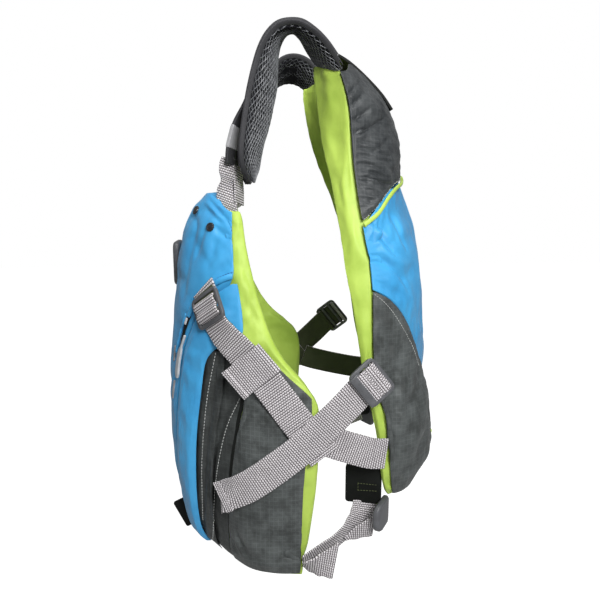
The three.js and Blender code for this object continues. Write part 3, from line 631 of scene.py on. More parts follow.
@dataclass(frozen=True)
class Moulding(Finish):
    """Moulded plastic or rubber, or a drawn thread."""

    rough: float = 0.42
    grain_mm: float = 0.05

    @cache
    def material(self) -> bpy.types.Material:
        """Makes the material once.

        Returns:
            The material.
        """
        material, g, shader = new_material(self.name)
        place = g.add("ShaderNodeTexCoord").outputs["Object"]
        scuff = g.effect(Effect.mottle(), Vector=place, Scale=90.0)["Value"]
        grain = g.add("ShaderNodeTexNoise", Vector=place, Scale=1400.0, Detail=2.0).outputs[0]
        g.bump(shader, g.math("MULTIPLY", grain, self.grain_mm * MM), 0.6)
        spread = g.math("MULTIPLY_ADD", scuff, 0.12, self.rough - 0.06)
        g.fill(shader, Base_Color=g.mix(scuff, self.shade, self.colour), Roughness=spread)
        return material


BLUE = Cloth("blue_nylon", "blue_cloth", (0.052, 0.34, 0.65), (0.036, 0.27, 0.55), rough=0.42, sheen=0.1)
LIME = Cloth("lime_nylon", "lime_cloth", (0.44, 0.6, 0.1), (0.35, 0.5, 0.07), rough=0.48, sheen=0.08)
HEATHER = Cloth(
    "heather_ripstop", "heather_cloth", (0.078, 0.087, 0.086), (0.034, 0.038, 0.037), rough=0.5, sheen=0.05,
    pattern=Pattern.RIPSTOP, line=(0.11, 0.122, 0.122), mottle_scale=60.0, crumple_mm=1.4,
)
# A darker copy of the heather ripstop for the pleats: painted shade where they lie under the pocket.
SHADED_HEATHER = Cloth(
    "pleat_ripstop", "heather_cloth", (0.045, 0.05, 0.049), (0.02, 0.023, 0.022), rough=0.55, sheen=0.04,
    pattern=Pattern.RIPSTOP, line=(0.065, 0.072, 0.072), mottle_scale=60.0, crumple_mm=1.2,
)
CHARCOAL = Cloth(
    "charcoal_nylon", "charcoal_cloth", (0.05, 0.055, 0.057), (0.02, 0.023, 0.025), rough=0.45, sheen=0.05,
    pattern=Pattern.RIPSTOP, line=(0.075, 0.08, 0.083), mottle_scale=60.0, crumple_mm=1.4, grid_mm=4.0,
)
SMOOTH_CHARCOAL = Cloth(
    "charcoal_binding", "charcoal_cloth", (0.04, 0.04, 0.044), (0.026, 0.026, 0.029), rough=0.55, sheen=0.03,
    gloss=0.25,
)
BLACK = Cloth(
    "black_nylon", "black_cloth", (0.008, 0.009, 0.008), (0.004, 0.005, 0.004), sheen=0.02, gloss=0.15,
)
PAD_CORE = Cloth(
    "mesh_core", "air_mesh", (0.014, 0.014, 0.017), (0.008, 0.008, 0.01), rough=0.8, sheen=0.0,
    crumple_mm=0.2, gloss=0.1,
)
NET = Moulding("mesh_filament", "air_mesh", (0.14, 0.145, 0.155), (0.085, 0.088, 0.095), rough=0.5)
# Its second colour is painted shade in the gaps between the rows of humps.
WEBBING = WovenTape("ribbed_webbing", "grey_webbing", (0.68, 0.65, 0.67), (0.07, 0.06, 0.064))
PLASTIC = Moulding("grey_nylon", "grey_plastic", (0.1, 0.102, 0.11), (0.07, 0.072, 0.078))
BLACK_PLASTIC = Moulding("black_enamel", "black_cloth", (0.012, 0.012, 0.014), (0.02, 0.02, 0.022), rough=0.3)
PALE = Moulding("pale_rubber", "pale_trim", (0.46, 0.48, 0.5), (0.38, 0.4, 0.42), rough=0.55)
SILVER = Moulding("silver_slider", "pale_trim", (0.6, 0.6, 0.62), (0.5, 0.5, 0.52), rough=0.25)
THREAD = Moulding("pale_thread", "pale_trim", (0.42, 0.43, 0.42), (0.34, 0.35, 0.34), rough=0.7)
# Dark olive for the straps' inner faces: painted shade, tinted as by light bounced off the lime lining.
STRAP_SHADE = Cloth(
    "olive_backing", "black_cloth", (0.065, 0.076, 0.04), (0.045, 0.053, 0.026), sheen=0.02,
    crumple_mm=0.3, gloss=0.15,
)
OLIVE_THREAD = Moulding("olive_thread", "black_cloth", (0.07, 0.085, 0.03), (0.05, 0.06, 0.02), rough=0.7)
BLUE_THREAD = Moulding("blue_thread", "blue_cloth", (0.02, 0.12, 0.34), (0.015, 0.09, 0.28), rough=0.7)
REFLECTIVE = Moulding("reflective_tape", "pale_trim", (0.36, 0.36, 0.37), (0.28, 0.28, 0.29), rough=0.35)


# Surfaces that carry trim


class Surface:
    """The outside of finished pieces, to lay trim on."""

    def __init__(self, *pieces: Piece) -> None:
        """Takes the pieces whose faces carry the trim."""
        points: list[Vector] = []
        faces: list[list[int]] = []
        for piece in pieces:
            start = len(points)
            points += [v.co.copy() for v in piece.data.vertices]
            faces += [[start + i for i in p.vertices] for p in piece.data.polygons]
        self.tree = BVHTree.FromPolygons(points, faces)

    def at_pixel(self, pixel: Pixel) -> Optional[tuple[Vector, Vector]]:
        """Returns the place and normal that the photograph shows at a pixel, or None."""
        place, normal, _, _ = self.tree.ray_cast(CAMERA.place, CAMERA.ray(pixel))
        return None if place is None else (place, normal)

    def nearest(self, point: Vector) -> tuple[Vector, Vector]:
        """Returns the place on the surface nearest to a point, and its normal."""
        place, normal, _, _ = self.tree.find_nearest(point)
        return place, normal

    def line(self, pixels: Pixels) -> list[Vector]:
        """Lays a smooth line on the surface through pixels of the photograph.

        Args:
            pixels: Places that the line passes, in order.

        Returns:
            Points on the surface, about a millimetre apart.
        """
        rows = [Vector((u, v, 0)) for u, v in pixels]
        hits = [self.at_pixel((p.x, p.y)) for p in smooth_line(rows, 1.0)]
        return [hit[0] for hit in hits if hit is not None]


def smooth_line(points: Line, step: float) -> list[Vector]:
    """Runs a smooth curve through points.

    Args:
        points: Points on the curve, in order.
        step: Distance between the points to return.

    Returns:
        Points on the curve, evenly spaced in each stretch.
    """
    ends = [points[0] * 2 - points[1], *points, points[-1] * 2 - points[-2]]
    result: list[Vector] = []
    for a, b, c, d in zip(ends, ends[1:], ends[2:], ends[3:]):
        count = max(1, round((c - b).length / step))
        for k in range(count):
            t = k / count
            curve = 2 * b + (c - a) * t + (2 * a - 5 * b + 4 * c - d) * t**2 + (3 * b - a - 3 * c + d) * t**3
            result.append(0.5 * curve)
    result.append(points[-1].copy())
    return result


def running_length(points: Line) -> list[float]:
    """Returns how far along a line each of its points lies."""
    marks = [0.0]
    for a, b in zip(points, points[1:]):
        marks.append(marks[-1] + (b - a).length)
    return marks


def middle_of(points: Line) -> Vector:
    """Returns the mean of some points."""
    return sum(points, Vector()) / len(points)


def flipped(lines: Lines) -> list[list[Vector]]:
    """Returns lines mirrored to the other side of the vest."""
    return [[point * FLIP for point in line] for line in lines]


# Soft panels


@dataclass(frozen=True)
class Fold:
    """A soft crease between pixels of the photograph.

    Attributes:
        pixels: Places that it passes.
        depth_mm: How deep it lies, or how high it stands if negative.
        width_mm: Half its width.
    """

    pixels: Pixels
    depth_mm: float = 1.6
    width_mm: float = 4.0


@dataclass(frozen=True)
class Wrinkles:
    """A field of long soft wrinkles.

    Attributes:
        along: Direction that the wrinkles run.
        length_mm: Their length.
        width_mm: Their width.
        depth_mm: Their depth.
        seed: Which field of many.
        sharp: True for rounded ridges with narrow creases between them.
    """

    along: tuple[float, float, float]
    length_mm: float = 60.0
    width_mm: float = 11.0
    depth_mm: float = 1.0
    seed: float = 0.0
    sharp: bool = False

    def heights(self, places: np.ndarray) -> np.ndarray:
        """Works out the field.

        Args:
            places: Places on a panel, one row each.

        Returns:
            The height at each place, in metres.
        """
        axis = Vector(self.along).normalized()
        result = np.empty(len(places))
        for i, row in enumerate(places):
            place = Vector(row)
            run = axis * place.dot(axis)
            spot = run / (self.length_mm * MM) + (place - run) / (self.width_mm * MM)
            result[i] = noise.noise(spot + Vector((self.seed, -self.seed, 2 * self.seed)))
        return (np.abs(result) * 2 - 0.4 if self.sharp else result) * self.depth_mm * MM


@dataclass
class SoftPanel:
    """A padded panel of cloth, puffed up by a cloth simulation inside its seams.

    Attributes:
        node: The solid that it stands for.
        cloth: Its cloth.
        crease: How sharp its seams stay, from 0 to 1.
        levels: Subdivision before the simulation.
        pressure: Pressure inside.
        spare: Share of cloth to spare, which makes it wrinkle.
        cap_mm: How far a point may move.
        fill: How tightly it is stuffed. Not used.
        folds: Creases that the photograph shows.
        wrinkles: Fields of wrinkles.
        mirror: True if its folds are mirrored to the other side.
        final: Subdivision after the simulation.
        frames: Length of the simulation.
        reshape: Moves a point of the solid to where the cloth is sewn.
    """

    node: str
    cloth: Cloth
    crease: float = 0.55
    levels: int = 2
    pressure: float = 1.2
    spare: float = 0.02
    cap_mm: float = 2.5
    fill: float = 0.7
    folds: Sequence[Fold] = ()
    wrinkles: Sequence[Wrinkles] = ()
    mirror: bool = False
    final: int = 1
    frames: int = 20
    reshape: Optional[Callable[[Vector], Vector]] = None

    def build(self) -> Piece:
        """Builds and dresses the panel.

        Returns:
            The finished piece.
        """
        piece = Bench.copy_node(self.node, f"{self.node}_cloth")
        self.mark_seams(piece)
        Bench.subdivide(piece, self.levels)
        if self.reshape is not None:
            Bench.move_to(piece, np.array([self.reshape(Vector(row)) for row in Bench.places(piece)]))
        self.puff(piece)
        if self.final:
            Bench.subdivide(piece, self.final)
        self.press_folds(piece)
        self.raise_wrinkles(piece)
        piece.vertex_groups.clear()
        Bench.project_uv(piece)
        return Bench.finish(piece, self.cloth, (self.node,), sharp_deg=180.0)

    def mark_seams(self, piece: Piece) -> None:
        """Creases the sharp edges and groups their points as seams.

        Args:
            piece: The panel's mesh.
        """
        with Bench.editing(piece, "DESELECT"):
            bpy.ops.mesh.select_mode(type="EDGE")
            bpy.ops.mesh.edges_select_sharp(sharpness=math.radians(42))
            bpy.ops.transform.edge_crease(value=self.crease)
        seam = piece.vertex_groups.new(name="seam")
        seam.add([v.index for v in piece.data.vertices if v.select], 1.0, "REPLACE")

    def puff(self, piece: Piece) -> None:
        """Runs the cloth simulation and keeps each point within the cap of its place.

        Args:
            piece: The panel's mesh.
        """
        before = Bench.places(piece)
        Bench.alone(piece)
        cloth = piece.modifiers.new("puff", "CLOTH")
        values = cloth.settings
        values.quality = 4
        values.mass = 0.1
        values.bending_stiffness = 0.15
        values.use_pressure = True
        values.uniform_pressure_force = self.pressure
        values.effector_weights.gravity = 0
        values.shrink_min = -self.spare
        values.vertex_group_mass = "seam"
        cloth.collision_settings.use_collision = False
        cloth.point_cache.frame_end = self.frames
        for number in range(1, self.frames + 1):
            bpy.context.scene.frame_set(number)
        bpy.ops.object.modifier_apply(modifier=cloth.name)
        bpy.context.scene.frame_set(1)
        move = Bench.places(piece) - before
        far = np.linalg.norm(move, axis=1, keepdims=True)
        limit = self.cap_mm * MM
        Bench.move_to(piece, before + move * (limit * np.tanh(far / limit) / np.maximum(far, 1e-9)))

    def seam_share(self, piece: Piece) -> np.ndarray:
        """Measures how near each point is to a seam.

        Args:
            piece: The panel's mesh.

        Returns:
            Shares from 0 to 1.
        """
        group = piece.vertex_groups["seam"].index
        share = np.zeros(len(piece.data.vertices))
        for vertex in piece.data.vertices:
            for member in vertex.groups:
                if member.group == group:
                    share[vertex.index] = member.weight
        return share

    def press_folds(self, piece: Piece) -> None:
        """Presses the photograph's creases into the panel.

        Args:
            piece: The panel's mesh.
        """
        if not self.folds:
            return
        source = Surface(piece)
        for fold in self.folds:
            line = self.fold_line(source, fold)
            if len(line) > 1:
                self.press(piece, line, fold)

    def fold_line(self, source: Surface, fold: Fold) -> list[Vector]:
        """Returns a fold's line on the panel, on the other side if it is mirrored."""
        if not self.mirror:
            return source.line(fold.pixels)
        twin = Surface(bpy.data.objects[f"{self.node.replace('_right', '_left')}_cloth"])
        return [source.nearest(p * FLIP)[0] for p in twin.line(fold.pixels)]

    def press(self, piece: Piece, line: Line, fold: Fold) -> None:
        """Moves the points near a line in along their normals, less towards the line's ends.

        Args:
            piece: The panel's mesh.
            line: The line on the panel.
            fold: The depth and width.
        """
        places = Bench.places(piece)
        path = np.array([tuple(p) for p in line])
        away = np.linalg.norm(places[:, None, :] - path[None, :, :], axis=2)
        nearest = away.argmin(axis=1)
        share = nearest / (len(path) - 1)
        taper = np.sin(np.pi * np.clip(share, 0.04, 0.96)) ** 0.5
        depth = fold.depth_mm * MM * taper * np.exp(-((away.min(axis=1) / (fold.width_mm * MM)) ** 2))
        Bench.move_to(piece, places - Bench.normals(piece) * depth[:, None])

    def raise_wrinkles(self, piece: Piece) -> None:
        """Raises the fields of wrinkles, which fade out at the seams.

        Args:
            piece: The panel's mesh.
        """
        for field_of in self.wrinkles:
            places = Bench.places(piece)
            heights = field_of.heights(places) * (1 - 0.7 * self.seam_share(piece))
            Bench.move_to(piece, places + Bench.normals(piece) * heights[:, None])


# Straps


@dataclass
class Station:
    """A place along a strap: its middle, the way across it with its length, and the way out of it."""

    middle: Vector
    across: Vector
    out: Vector


class SectionReader:
    """Reads the sections of a strap from its solid, in order from one end to the other."""

    def __init__(self, node: str, count: int = 4) -> None:
        """Takes the solid's name and the number of points in a section."""
        self.node = node
        self.count = count

    def sections(self) -> list[list[Vector]]:
        """Walks along the solid from section to section.

        Returns:
            Lists of points.
        """
        piece = Bench.copy_node(self.node, "section_reader")
        shape = bmesh.new()
        shape.from_mesh(piece.data)
        bpy.data.objects.remove(piece)
        ends = [v for v in shape.verts if len(v.link_edges) == 3]
        layer = self.first_section(shape, ends)
        seen = set(layer)
        layers = []
        while layer:
            layers.append([v.co.copy() for v in layer])
            fresh = {e.other_vert(v) for v in layer for e in v.link_edges} - seen
            layer = sorted(fresh, key=lambda v: v.index)
            seen.update(fresh)
        shape.free()
        return layers

    def first_section(
        self, shape: bmesh.types.BMesh, ends: Sequence[bmesh.types.BMVert]
    ) -> list[bmesh.types.BMVert]:
        """Finds an end section: a face of four corners, or what lies near a plane through four corners.

        Args:
            shape: The solid's mesh.
            ends: Its corners.

        Returns:
            The points of the section.
        """
        if self.count == 4:
            for face in shape.faces:
                if all(v in ends for v in face.verts) and len(face.verts) == 4:
                    return list(face.verts)
        first = ends[0]
        corners = [v.co for v in sorted(ends, key=lambda v: (v.co - first.co).length)[:4]]
        middle = middle_of(corners)
        long = max(corners, key=lambda c: (c - corners[0]).length) - corners[0]
        normal = (corners[1] - corners[0]).cross(long).normalized()
        order = sorted(
            shape.verts, key=lambda v: abs((v.co - middle).dot(normal)) + 0.2 * (v.co - middle).length
        )
        return order[: self.count]

    def stations(self) -> list[Station]:
        """Reads a flat strap, turned the same way all along.

        Returns:
            The stations.
        """
        result: list[Station] = []
        for points in self.sections():
            first = points[0]
            order = sorted(points[1:], key=lambda p: (p - first).length)
            thick, wide = order[0] - first, order[1] - first
            middle = middle_of(points)
            if result:
                wide = wide if wide.dot(result[-1].across) > 0 else -wide
                thick = thick if thick.dot(result[-1].out) > 0 else -thick
            result.append(Station(middle, wide, thick))
        return result


def from_end(stations: list[Station], order: Callable[[Vector], float]) -> list[Station]:
    """Returns a strap's stations from that end where a measure of their middles is least."""
    ahead = order(stations[0].middle) <= order(stations[-1].middle)
    return stations if ahead else stations[::-1]


def smooth_stations(stations: Sequence[Station], step: float) -> list[Station]:
    """Runs a smooth strap through stations.

    Args:
        stations: The strap's stations, in order.
        step: Distance between the stations to return.

    Returns:
        Evenly spaced stations.
    """
    places = [s.middle for s in stations]
    fine = smooth_line(places, step / 4)
    marks = running_length(fine)
    knots = [min(range(len(fine)), key=lambda i, p=p: (fine[i] - p).length) for p in places]
    knots[0], knots[-1] = 0, len(fine) - 1
    count = max(2, round(marks[-1] / step))
    result = []
    for k in range(count + 1):
        reach = marks[-1] * k / count
        i = min(int(np.searchsorted(marks, reach)), len(fine) - 1)
        j = max(0, min(int(np.searchsorted(knots, i, side="right")) - 1, len(stations) - 2))
        low, high = marks[knots[j]], marks[knots[j + 1]]
        t = min(max((reach - low) / max(high - low, 1e-9), 0.0), 1.0)
        t = t * t * (3 - 2 * t)
        across = stations[j].across.lerp(stations[j + 1].across, t)
        out = stations[j].out.lerp(stations[j + 1].out, t)
        result.append(Station(fine[i].copy(), across, out))
    return result


@dataclass
class Ribbon:
    """A flat strap along given stations.

    Attributes:
        name: Name of the piece.
        stations: Where it goes, in order.
        finish: Webbing, cloth or moulding.
        thick_mm: Its thickness.
        replaces: Solids that it stands for.
        columns: Faces across it.
        step_mm: Distance between its sections.
        crown_mm: How much its middle stands out.
        bevel_mm: Rounding of its edges.
    """

    name: str
    stations: Sequence[Station]
    finish: Finish
    thick_mm: float = 2.0
    replaces: Sequence[str] = ()
    columns: int = 8
    step_mm: float = 2.0
    crown_mm: float = 0.0
    bevel_mm: float = 0.5

    def build(self) -> Piece:
        """Builds and dresses the ribbon.

        Returns:
            The finished piece.
        """
        stations = smooth_stations(self.stations, self.step_mm * MM)
        piece = lay_strap(self.name, stations, self.columns, self.crown_mm * MM)
        Bench.modifier(piece, "SOLIDIFY", thickness=self.thick_mm * MM, offset=0.0)
        Bench.bevel(piece, self.bevel_mm, 2, 50)
        Bench.face_out(piece)
        return Bench.finish(piece, self.finish, self.replaces, sharp_deg=50.0)


def follow_solid(node: str, finish: Finish, ending: str = "woven", **sizes: float) -> Piece:
    """Builds a flat strap along a solid's own way.

    Args:
        node: The solid that it stands for.
        finish: Its finish.
        ending: Ending of the piece's name.
        sizes: Other fields of the Ribbon.

    Returns:
        The finished piece.
    """
    stations = SectionReader(node).stations()
    sizes = {"thick_mm": stations[0].out.length / MM, "step_mm": 2.5, **sizes}
    return Ribbon(f"{node}_{ending}", stations, finish, replaces=(node,), **sizes).build()


@dataclass
class SurfaceTape:
    """A narrow tape or rolled edge, laid on finished pieces along pixels of the photograph."""

    name: str
    pixels: Pixels
    width_mm: float
    finish: Finish
    thick_mm: float = 1.2
    lift_mm: float = 0.4
    crown_mm: float = 0.0

    def build(self, surface: Surface, other: Optional[Surface] = None) -> Optional[Piece]:
        """Lays the tape.

        Args:
            surface: The pieces that the photograph shows.
            other: Their twins, for a tape on the side that it doesn't show.

        Returns:
            The finished piece, or None if the line misses the surface.
        """
        spots = [surface.nearest(p) for p in surface.line(self.pixels)[::3]]
        if other is not None:
            spots = [other.nearest(p * FLIP) for p, _ in spots]
        if len(spots) < 3:
            return None
        stations = []
        for k, (place, normal) in enumerate(spots):
            along = spots[min(k + 1, len(spots) - 1)][0] - spots[max(k - 1, 0)][0]
            across = normal.cross(along).normalized() * (self.width_mm * MM)
            stations.append(Station(place + normal * (self.lift_mm * MM), across, normal * MM))
        return Ribbon(
            self.name, stations, self.finish, self.thick_mm, columns=6, crown_mm=self.crown_mm
        ).build()


@dataclass(frozen=True)
class PixelStation:
    """A strap's station as the photograph shows it.

    Attributes:
        u: Column of its middle, in pixels.
        v: Row of its middle, in pixels.
        depth_mm: How far it lies along the view.
        wide_u: Way across it to the right, in pixels.
        wide_v: Way across it down, in pixels.
        turned_mm: How much of its width is turned away along the view.
    """

    u: float
    v: float
    depth_mm: float
    wide_u: float
    wide_v: float
    turned_mm: float

    def station(self) -> Station:
        """Returns the station in the frame."""
        forward, right, up = CAMERA.axes()
        scale = self.depth_mm * MM / CAMERA.focal_px
        across = right * (self.wide_u * scale) - up * (self.wide_v * scale) + forward * (self.turned_mm * MM)
        middle = CAMERA.point((self.u, self.v), self.depth_mm * MM)
        return Station(middle, across, across.cross(up).normalized() * MM)


class OtherSide:
    """Carries places from the left side to the right one, by a pair of like solids."""

    def __init__(self, node: str) -> None:
        """Takes the left solid's name without its side."""
        left = SectionReader(f"{node}_left").stations()
        right = SectionReader(f"{node}_right").stations()
        self.starts = [s.middle * FLIP for s in left]
        self.shifts = [s.middle - p for s, p in zip(right, self.starts)]

    def carry(self, station: Station) -> Station:
        """Returns a left station's twin on the right."""
        middle = station.middle * FLIP
        k = min(range(len(self.starts)), key=lambda i: (self.starts[i] - middle).length)
        return Station(middle + self.shifts[k], station.across * FLIP, station.out * FLIP)


def shown_stations(rows: Sequence[Sequence[float]], side: Side, node: str) -> list[Station]:
    """Reads a strap's way from the photograph.

    Args:
        rows: The values of its PixelStations.
        side: Side of the strap.
        node: Name of its solids without their side.

    Returns:
        Its stations, carried over if the strap is on the right.
    """
    stations = [PixelStation(*row).station() for row in rows]
    if side is Side.LEFT:
        return stations
    other = OtherSide(node)
    return [other.carry(station) for station in stations]


def lay_strap(name: str, stations: Sequence[Station], columns: int, crown: float = 0.0) -> Piece:
    """Lays a grid along stations.

    Args:
        name: Name of the new piece.
        stations: Where it goes.
        columns: Faces across it.
        crown: How much its middle stands out.

    Returns:
        An open sheet with a UV map in metres.
    """
    rows = len(stations) - 1
    piece = Bench.grid(name, columns, rows)
    length = running_length([s.middle for s in stations])
    spots = []
    for vertex in piece.data.vertices:
        share = vertex.co.x
        k = min(rows, max(0, round((vertex.co.y + 0.5) * rows)))
        station = stations[k]
        spots.append((share * station.across.length, length[k]))
        lift = station.out.normalized() * crown * (1 - 4 * share * share)
        vertex.co = station.middle + station.across * share + lift
    layer = piece.data.uv_layers.active
    for loop in piece.data.loops:
        layer.data[loop.index].uv = spots[loop.vertex_index]
    return piece


# Stitches


@dataclass
class StitchRow:
    """A row of stitches on a surface."""

    name: str
    thread: Moulding = THREAD
    pitch_mm: float = 3.0
    long_mm: float = 2.0
    thick_mm: float = 0.7
    sides: int = 6

    def build(self, lines: Lines, surface: Surface) -> Optional[Piece]:
        """Sews rows along lines.

        Args:
            lines: Lines near the surface.
            surface: What they are sewn to.

        Returns:
            The finished piece, or None if no line is long enough.
        """
        first = self.model_stitch()
        copies = []
        for line in lines:
            for middle, way in self.spots(line):
                place, normal = surface.nearest(middle)
                copies.append(self.copy_stitch(first, place, way, normal))
        bpy.data.objects.remove(first)
        if not copies:
            return None
        Bench.alone(copies[0])
        for copy in copies:
            copy.select_set(True)
        bpy.ops.object.join()
        copies[0].name = self.name
        copies[0].data.name = self.name
        return Bench.finish(copies[0], self.thread)

    def spots(self, line: Line) -> list[tuple[Vector, Vector]]:
        """Spaces the stitches along a line.

        Args:
            line: The line.

        Returns:
            The middle and way of each stitch.
        """
        result = []
        reach, goal = 0.0, self.pitch_mm * MM / 2
        for a, b in zip(line, line[1:]):
            span = (b - a).length
            while span > 0 and reach + span >= goal:
                result.append((a.lerp(b, (goal - reach) / span), (b - a).normalized()))
                goal += self.pitch_mm * MM
            reach += span
        return result

    def model_stitch(self) -> Piece:
        """Models one stitch along Z: a short thread that narrows at both ends.

        Returns:
            The stitch.
        """
        half, thick = self.long_mm * MM / 2, self.thick_mm * MM / 2
        bpy.ops.object.select_all(action="DESELECT")
        bpy.ops.mesh.primitive_cylinder_add(
            vertices=self.sides, radius=thick, depth=1.4 * half, end_fill_type="NGON"
        )
        piece = bpy.context.object
        with Bench.editing(piece, "DESELECT"):
            bpy.ops.mesh.select_mode(type="FACE")
        for face in piece.data.polygons:
            face.select = abs(face.normal.z) > 0.9
        with Bench.editing(piece, None):
            bpy.ops.mesh.inset(thickness=0.4 * thick, depth=0.3 * half, use_individual=True)
        return piece

    def copy_stitch(
        self, first: Piece, place: Vector, way: Vector, normal: Vector
    ) -> Piece:
        """Copies a stitch to a place.

        Args:
            first: The stitch to copy.
            place: Where it lies on the cloth.
            way: The way it runs.
            normal: The way the cloth faces.

        Returns:
            The copy, with its own mesh.
        """
        way = (way - normal * way.dot(normal)).normalized()
        side = normal.cross(way)
        turn = Matrix((side, normal, way)).transposed().to_4x4()
        mesh = first.data.copy()
        mesh.transform(Matrix.Translation(place + normal * (self.thick_mm * 0.3 * MM)) @ turn)
        piece = bpy.data.objects.new(self.name, mesh)
        bpy.context.scene.collection.objects.link(piece)
        return piece


# Hard pieces


@dataclass
class HardPiece:
    """A moulded piece that keeps its solid's form, with rounded edges."""

    node: str
    finish: Moulding
    bevel_mm: float = 0.9
    segments: int = 3

    def build(self) -> Piece:
        """Builds and dresses the piece.

        Returns:
            The finished piece.
        """
        piece = Bench.copy_node(self.node, f"{self.node}_moulded")
        with Bench.editing(piece):
            bpy.ops.mesh.dissolve_limited(angle_limit=math.radians(1.0))
        Bench.bevel(piece, self.bevel_mm, self.segments, 30)
        return Bench.finish(piece, self.finish, (self.node,), sharp_deg=40.0)


@dataclass
class ClothPiece:
    """A plain cloth piece that keeps its solid's form, with rounded edges or rounded all over.

    Attributes:
        node: The solid that it stands for.
        cloth: Its cloth.
        ending: Ending of the piece's name.
        bevel_mm: Radius of its edges, or 0 if it is rounded all over.
        segments: Faces in a rounding.
        sharp_deg: Edges sharper than this stay sharp.
        shape: What is done to it once it is rounded.
    """

    node: str
    cloth: Cloth
    ending: str = "cloth"
    bevel_mm: float = 0.0
    segments: int = 2
    sharp_deg: float = 40.0
    shape: Optional[Callable[[Piece], None]] = None

    def build(self) -> Piece:
        """Builds and dresses the piece.

        Returns:
            The finished piece.
        """
        piece = Bench.copy_node(self.node, f"{self.node}_{self.ending}")
        if self.bevel_mm:
            Bench.bevel(piece, self.bevel_mm, self.segments, 40)
        else:
            Bench.subdivide(piece, 2)
        if self.shape is not None:
            self.shape(piece)
        Bench.project_uv(piece)
        return Bench.finish(piece, self.cloth, (self.node,), self.sharp_deg)


# Sub-assemblies, with their places on the photograph in pixels


LOWER_SEAM = ((374, 294), (384, 302), (394, 314), (404, 330), (413, 348), (419, 366))
PUCKER_ROWS = (141, 148, 155, 163, 170, 178, 186, 195, 204)

# Puckers along the lime edge and the long dart of the upper back
UPPER_FOLDS = tuple(
    Fold(((359, v), (367, v + 1), (375, v + 3), (385 + 4 * (k % 3), v + 8)), 1.5 + 0.5 * (k % 2), 1.6)
    for k, v in enumerate(PUCKER_ROWS)
) + (
    Fold(((355, 133), (363, 131), (372, 127), (384, 119)), 3.4, 2.2),
    Fold(((353, 120), (361, 116), (370, 108)), 2.2, 2.0),
    Fold(((351, 106), (358, 100), (366, 91)), 2.2, 2.0),
    Fold(((349, 94), (356, 86), (362, 79)), 2.2, 2.0),
    Fold(((364, 212), (374, 205), (384, 196)), 2.0, 2.8),
    Fold(((372, 150), (382, 146), (391, 138)), 1.6, 3.0),
)
# Upright folds beside the lime edge of the lower back
LOWER_FOLDS = (
    Fold(((391, 372), (388, 400), (390, 430), (394, 455)), 3.0, 3.2),
    Fold(((398, 350), (395, 385), (396, 420)), 2.4, 3.6),
    Fold(((387, 420), (391, 440), (393, 470)), 2.4, 2.8),
    Fold(((404, 380), (402, 420), (400, 460)), -1.8, 4.5),
    Fold(((389, 455), (398, 462), (408, 470)), 2.0, 3.2),
    Fold(((384, 318), (388, 336), (390, 356)), 1.8, 3.4),
)
# Soft diagonal folds of the blue back
MIDDLE_FOLDS = (
    Fold(((372, 226), (384, 238), (396, 254)), 3.4, 4.0),
    Fold(((388, 212), (398, 228), (406, 248)), 2.8, 4.0),
    Fold(((368, 258), (382, 260), (398, 272), (408, 290)), 3.2, 4.0),
    Fold(((378, 240), (390, 256), (408, 266)), -1.6, 4.5),
    Fold(((380, 285), (394, 292), (410, 300)), 1.6, 4.5),
)


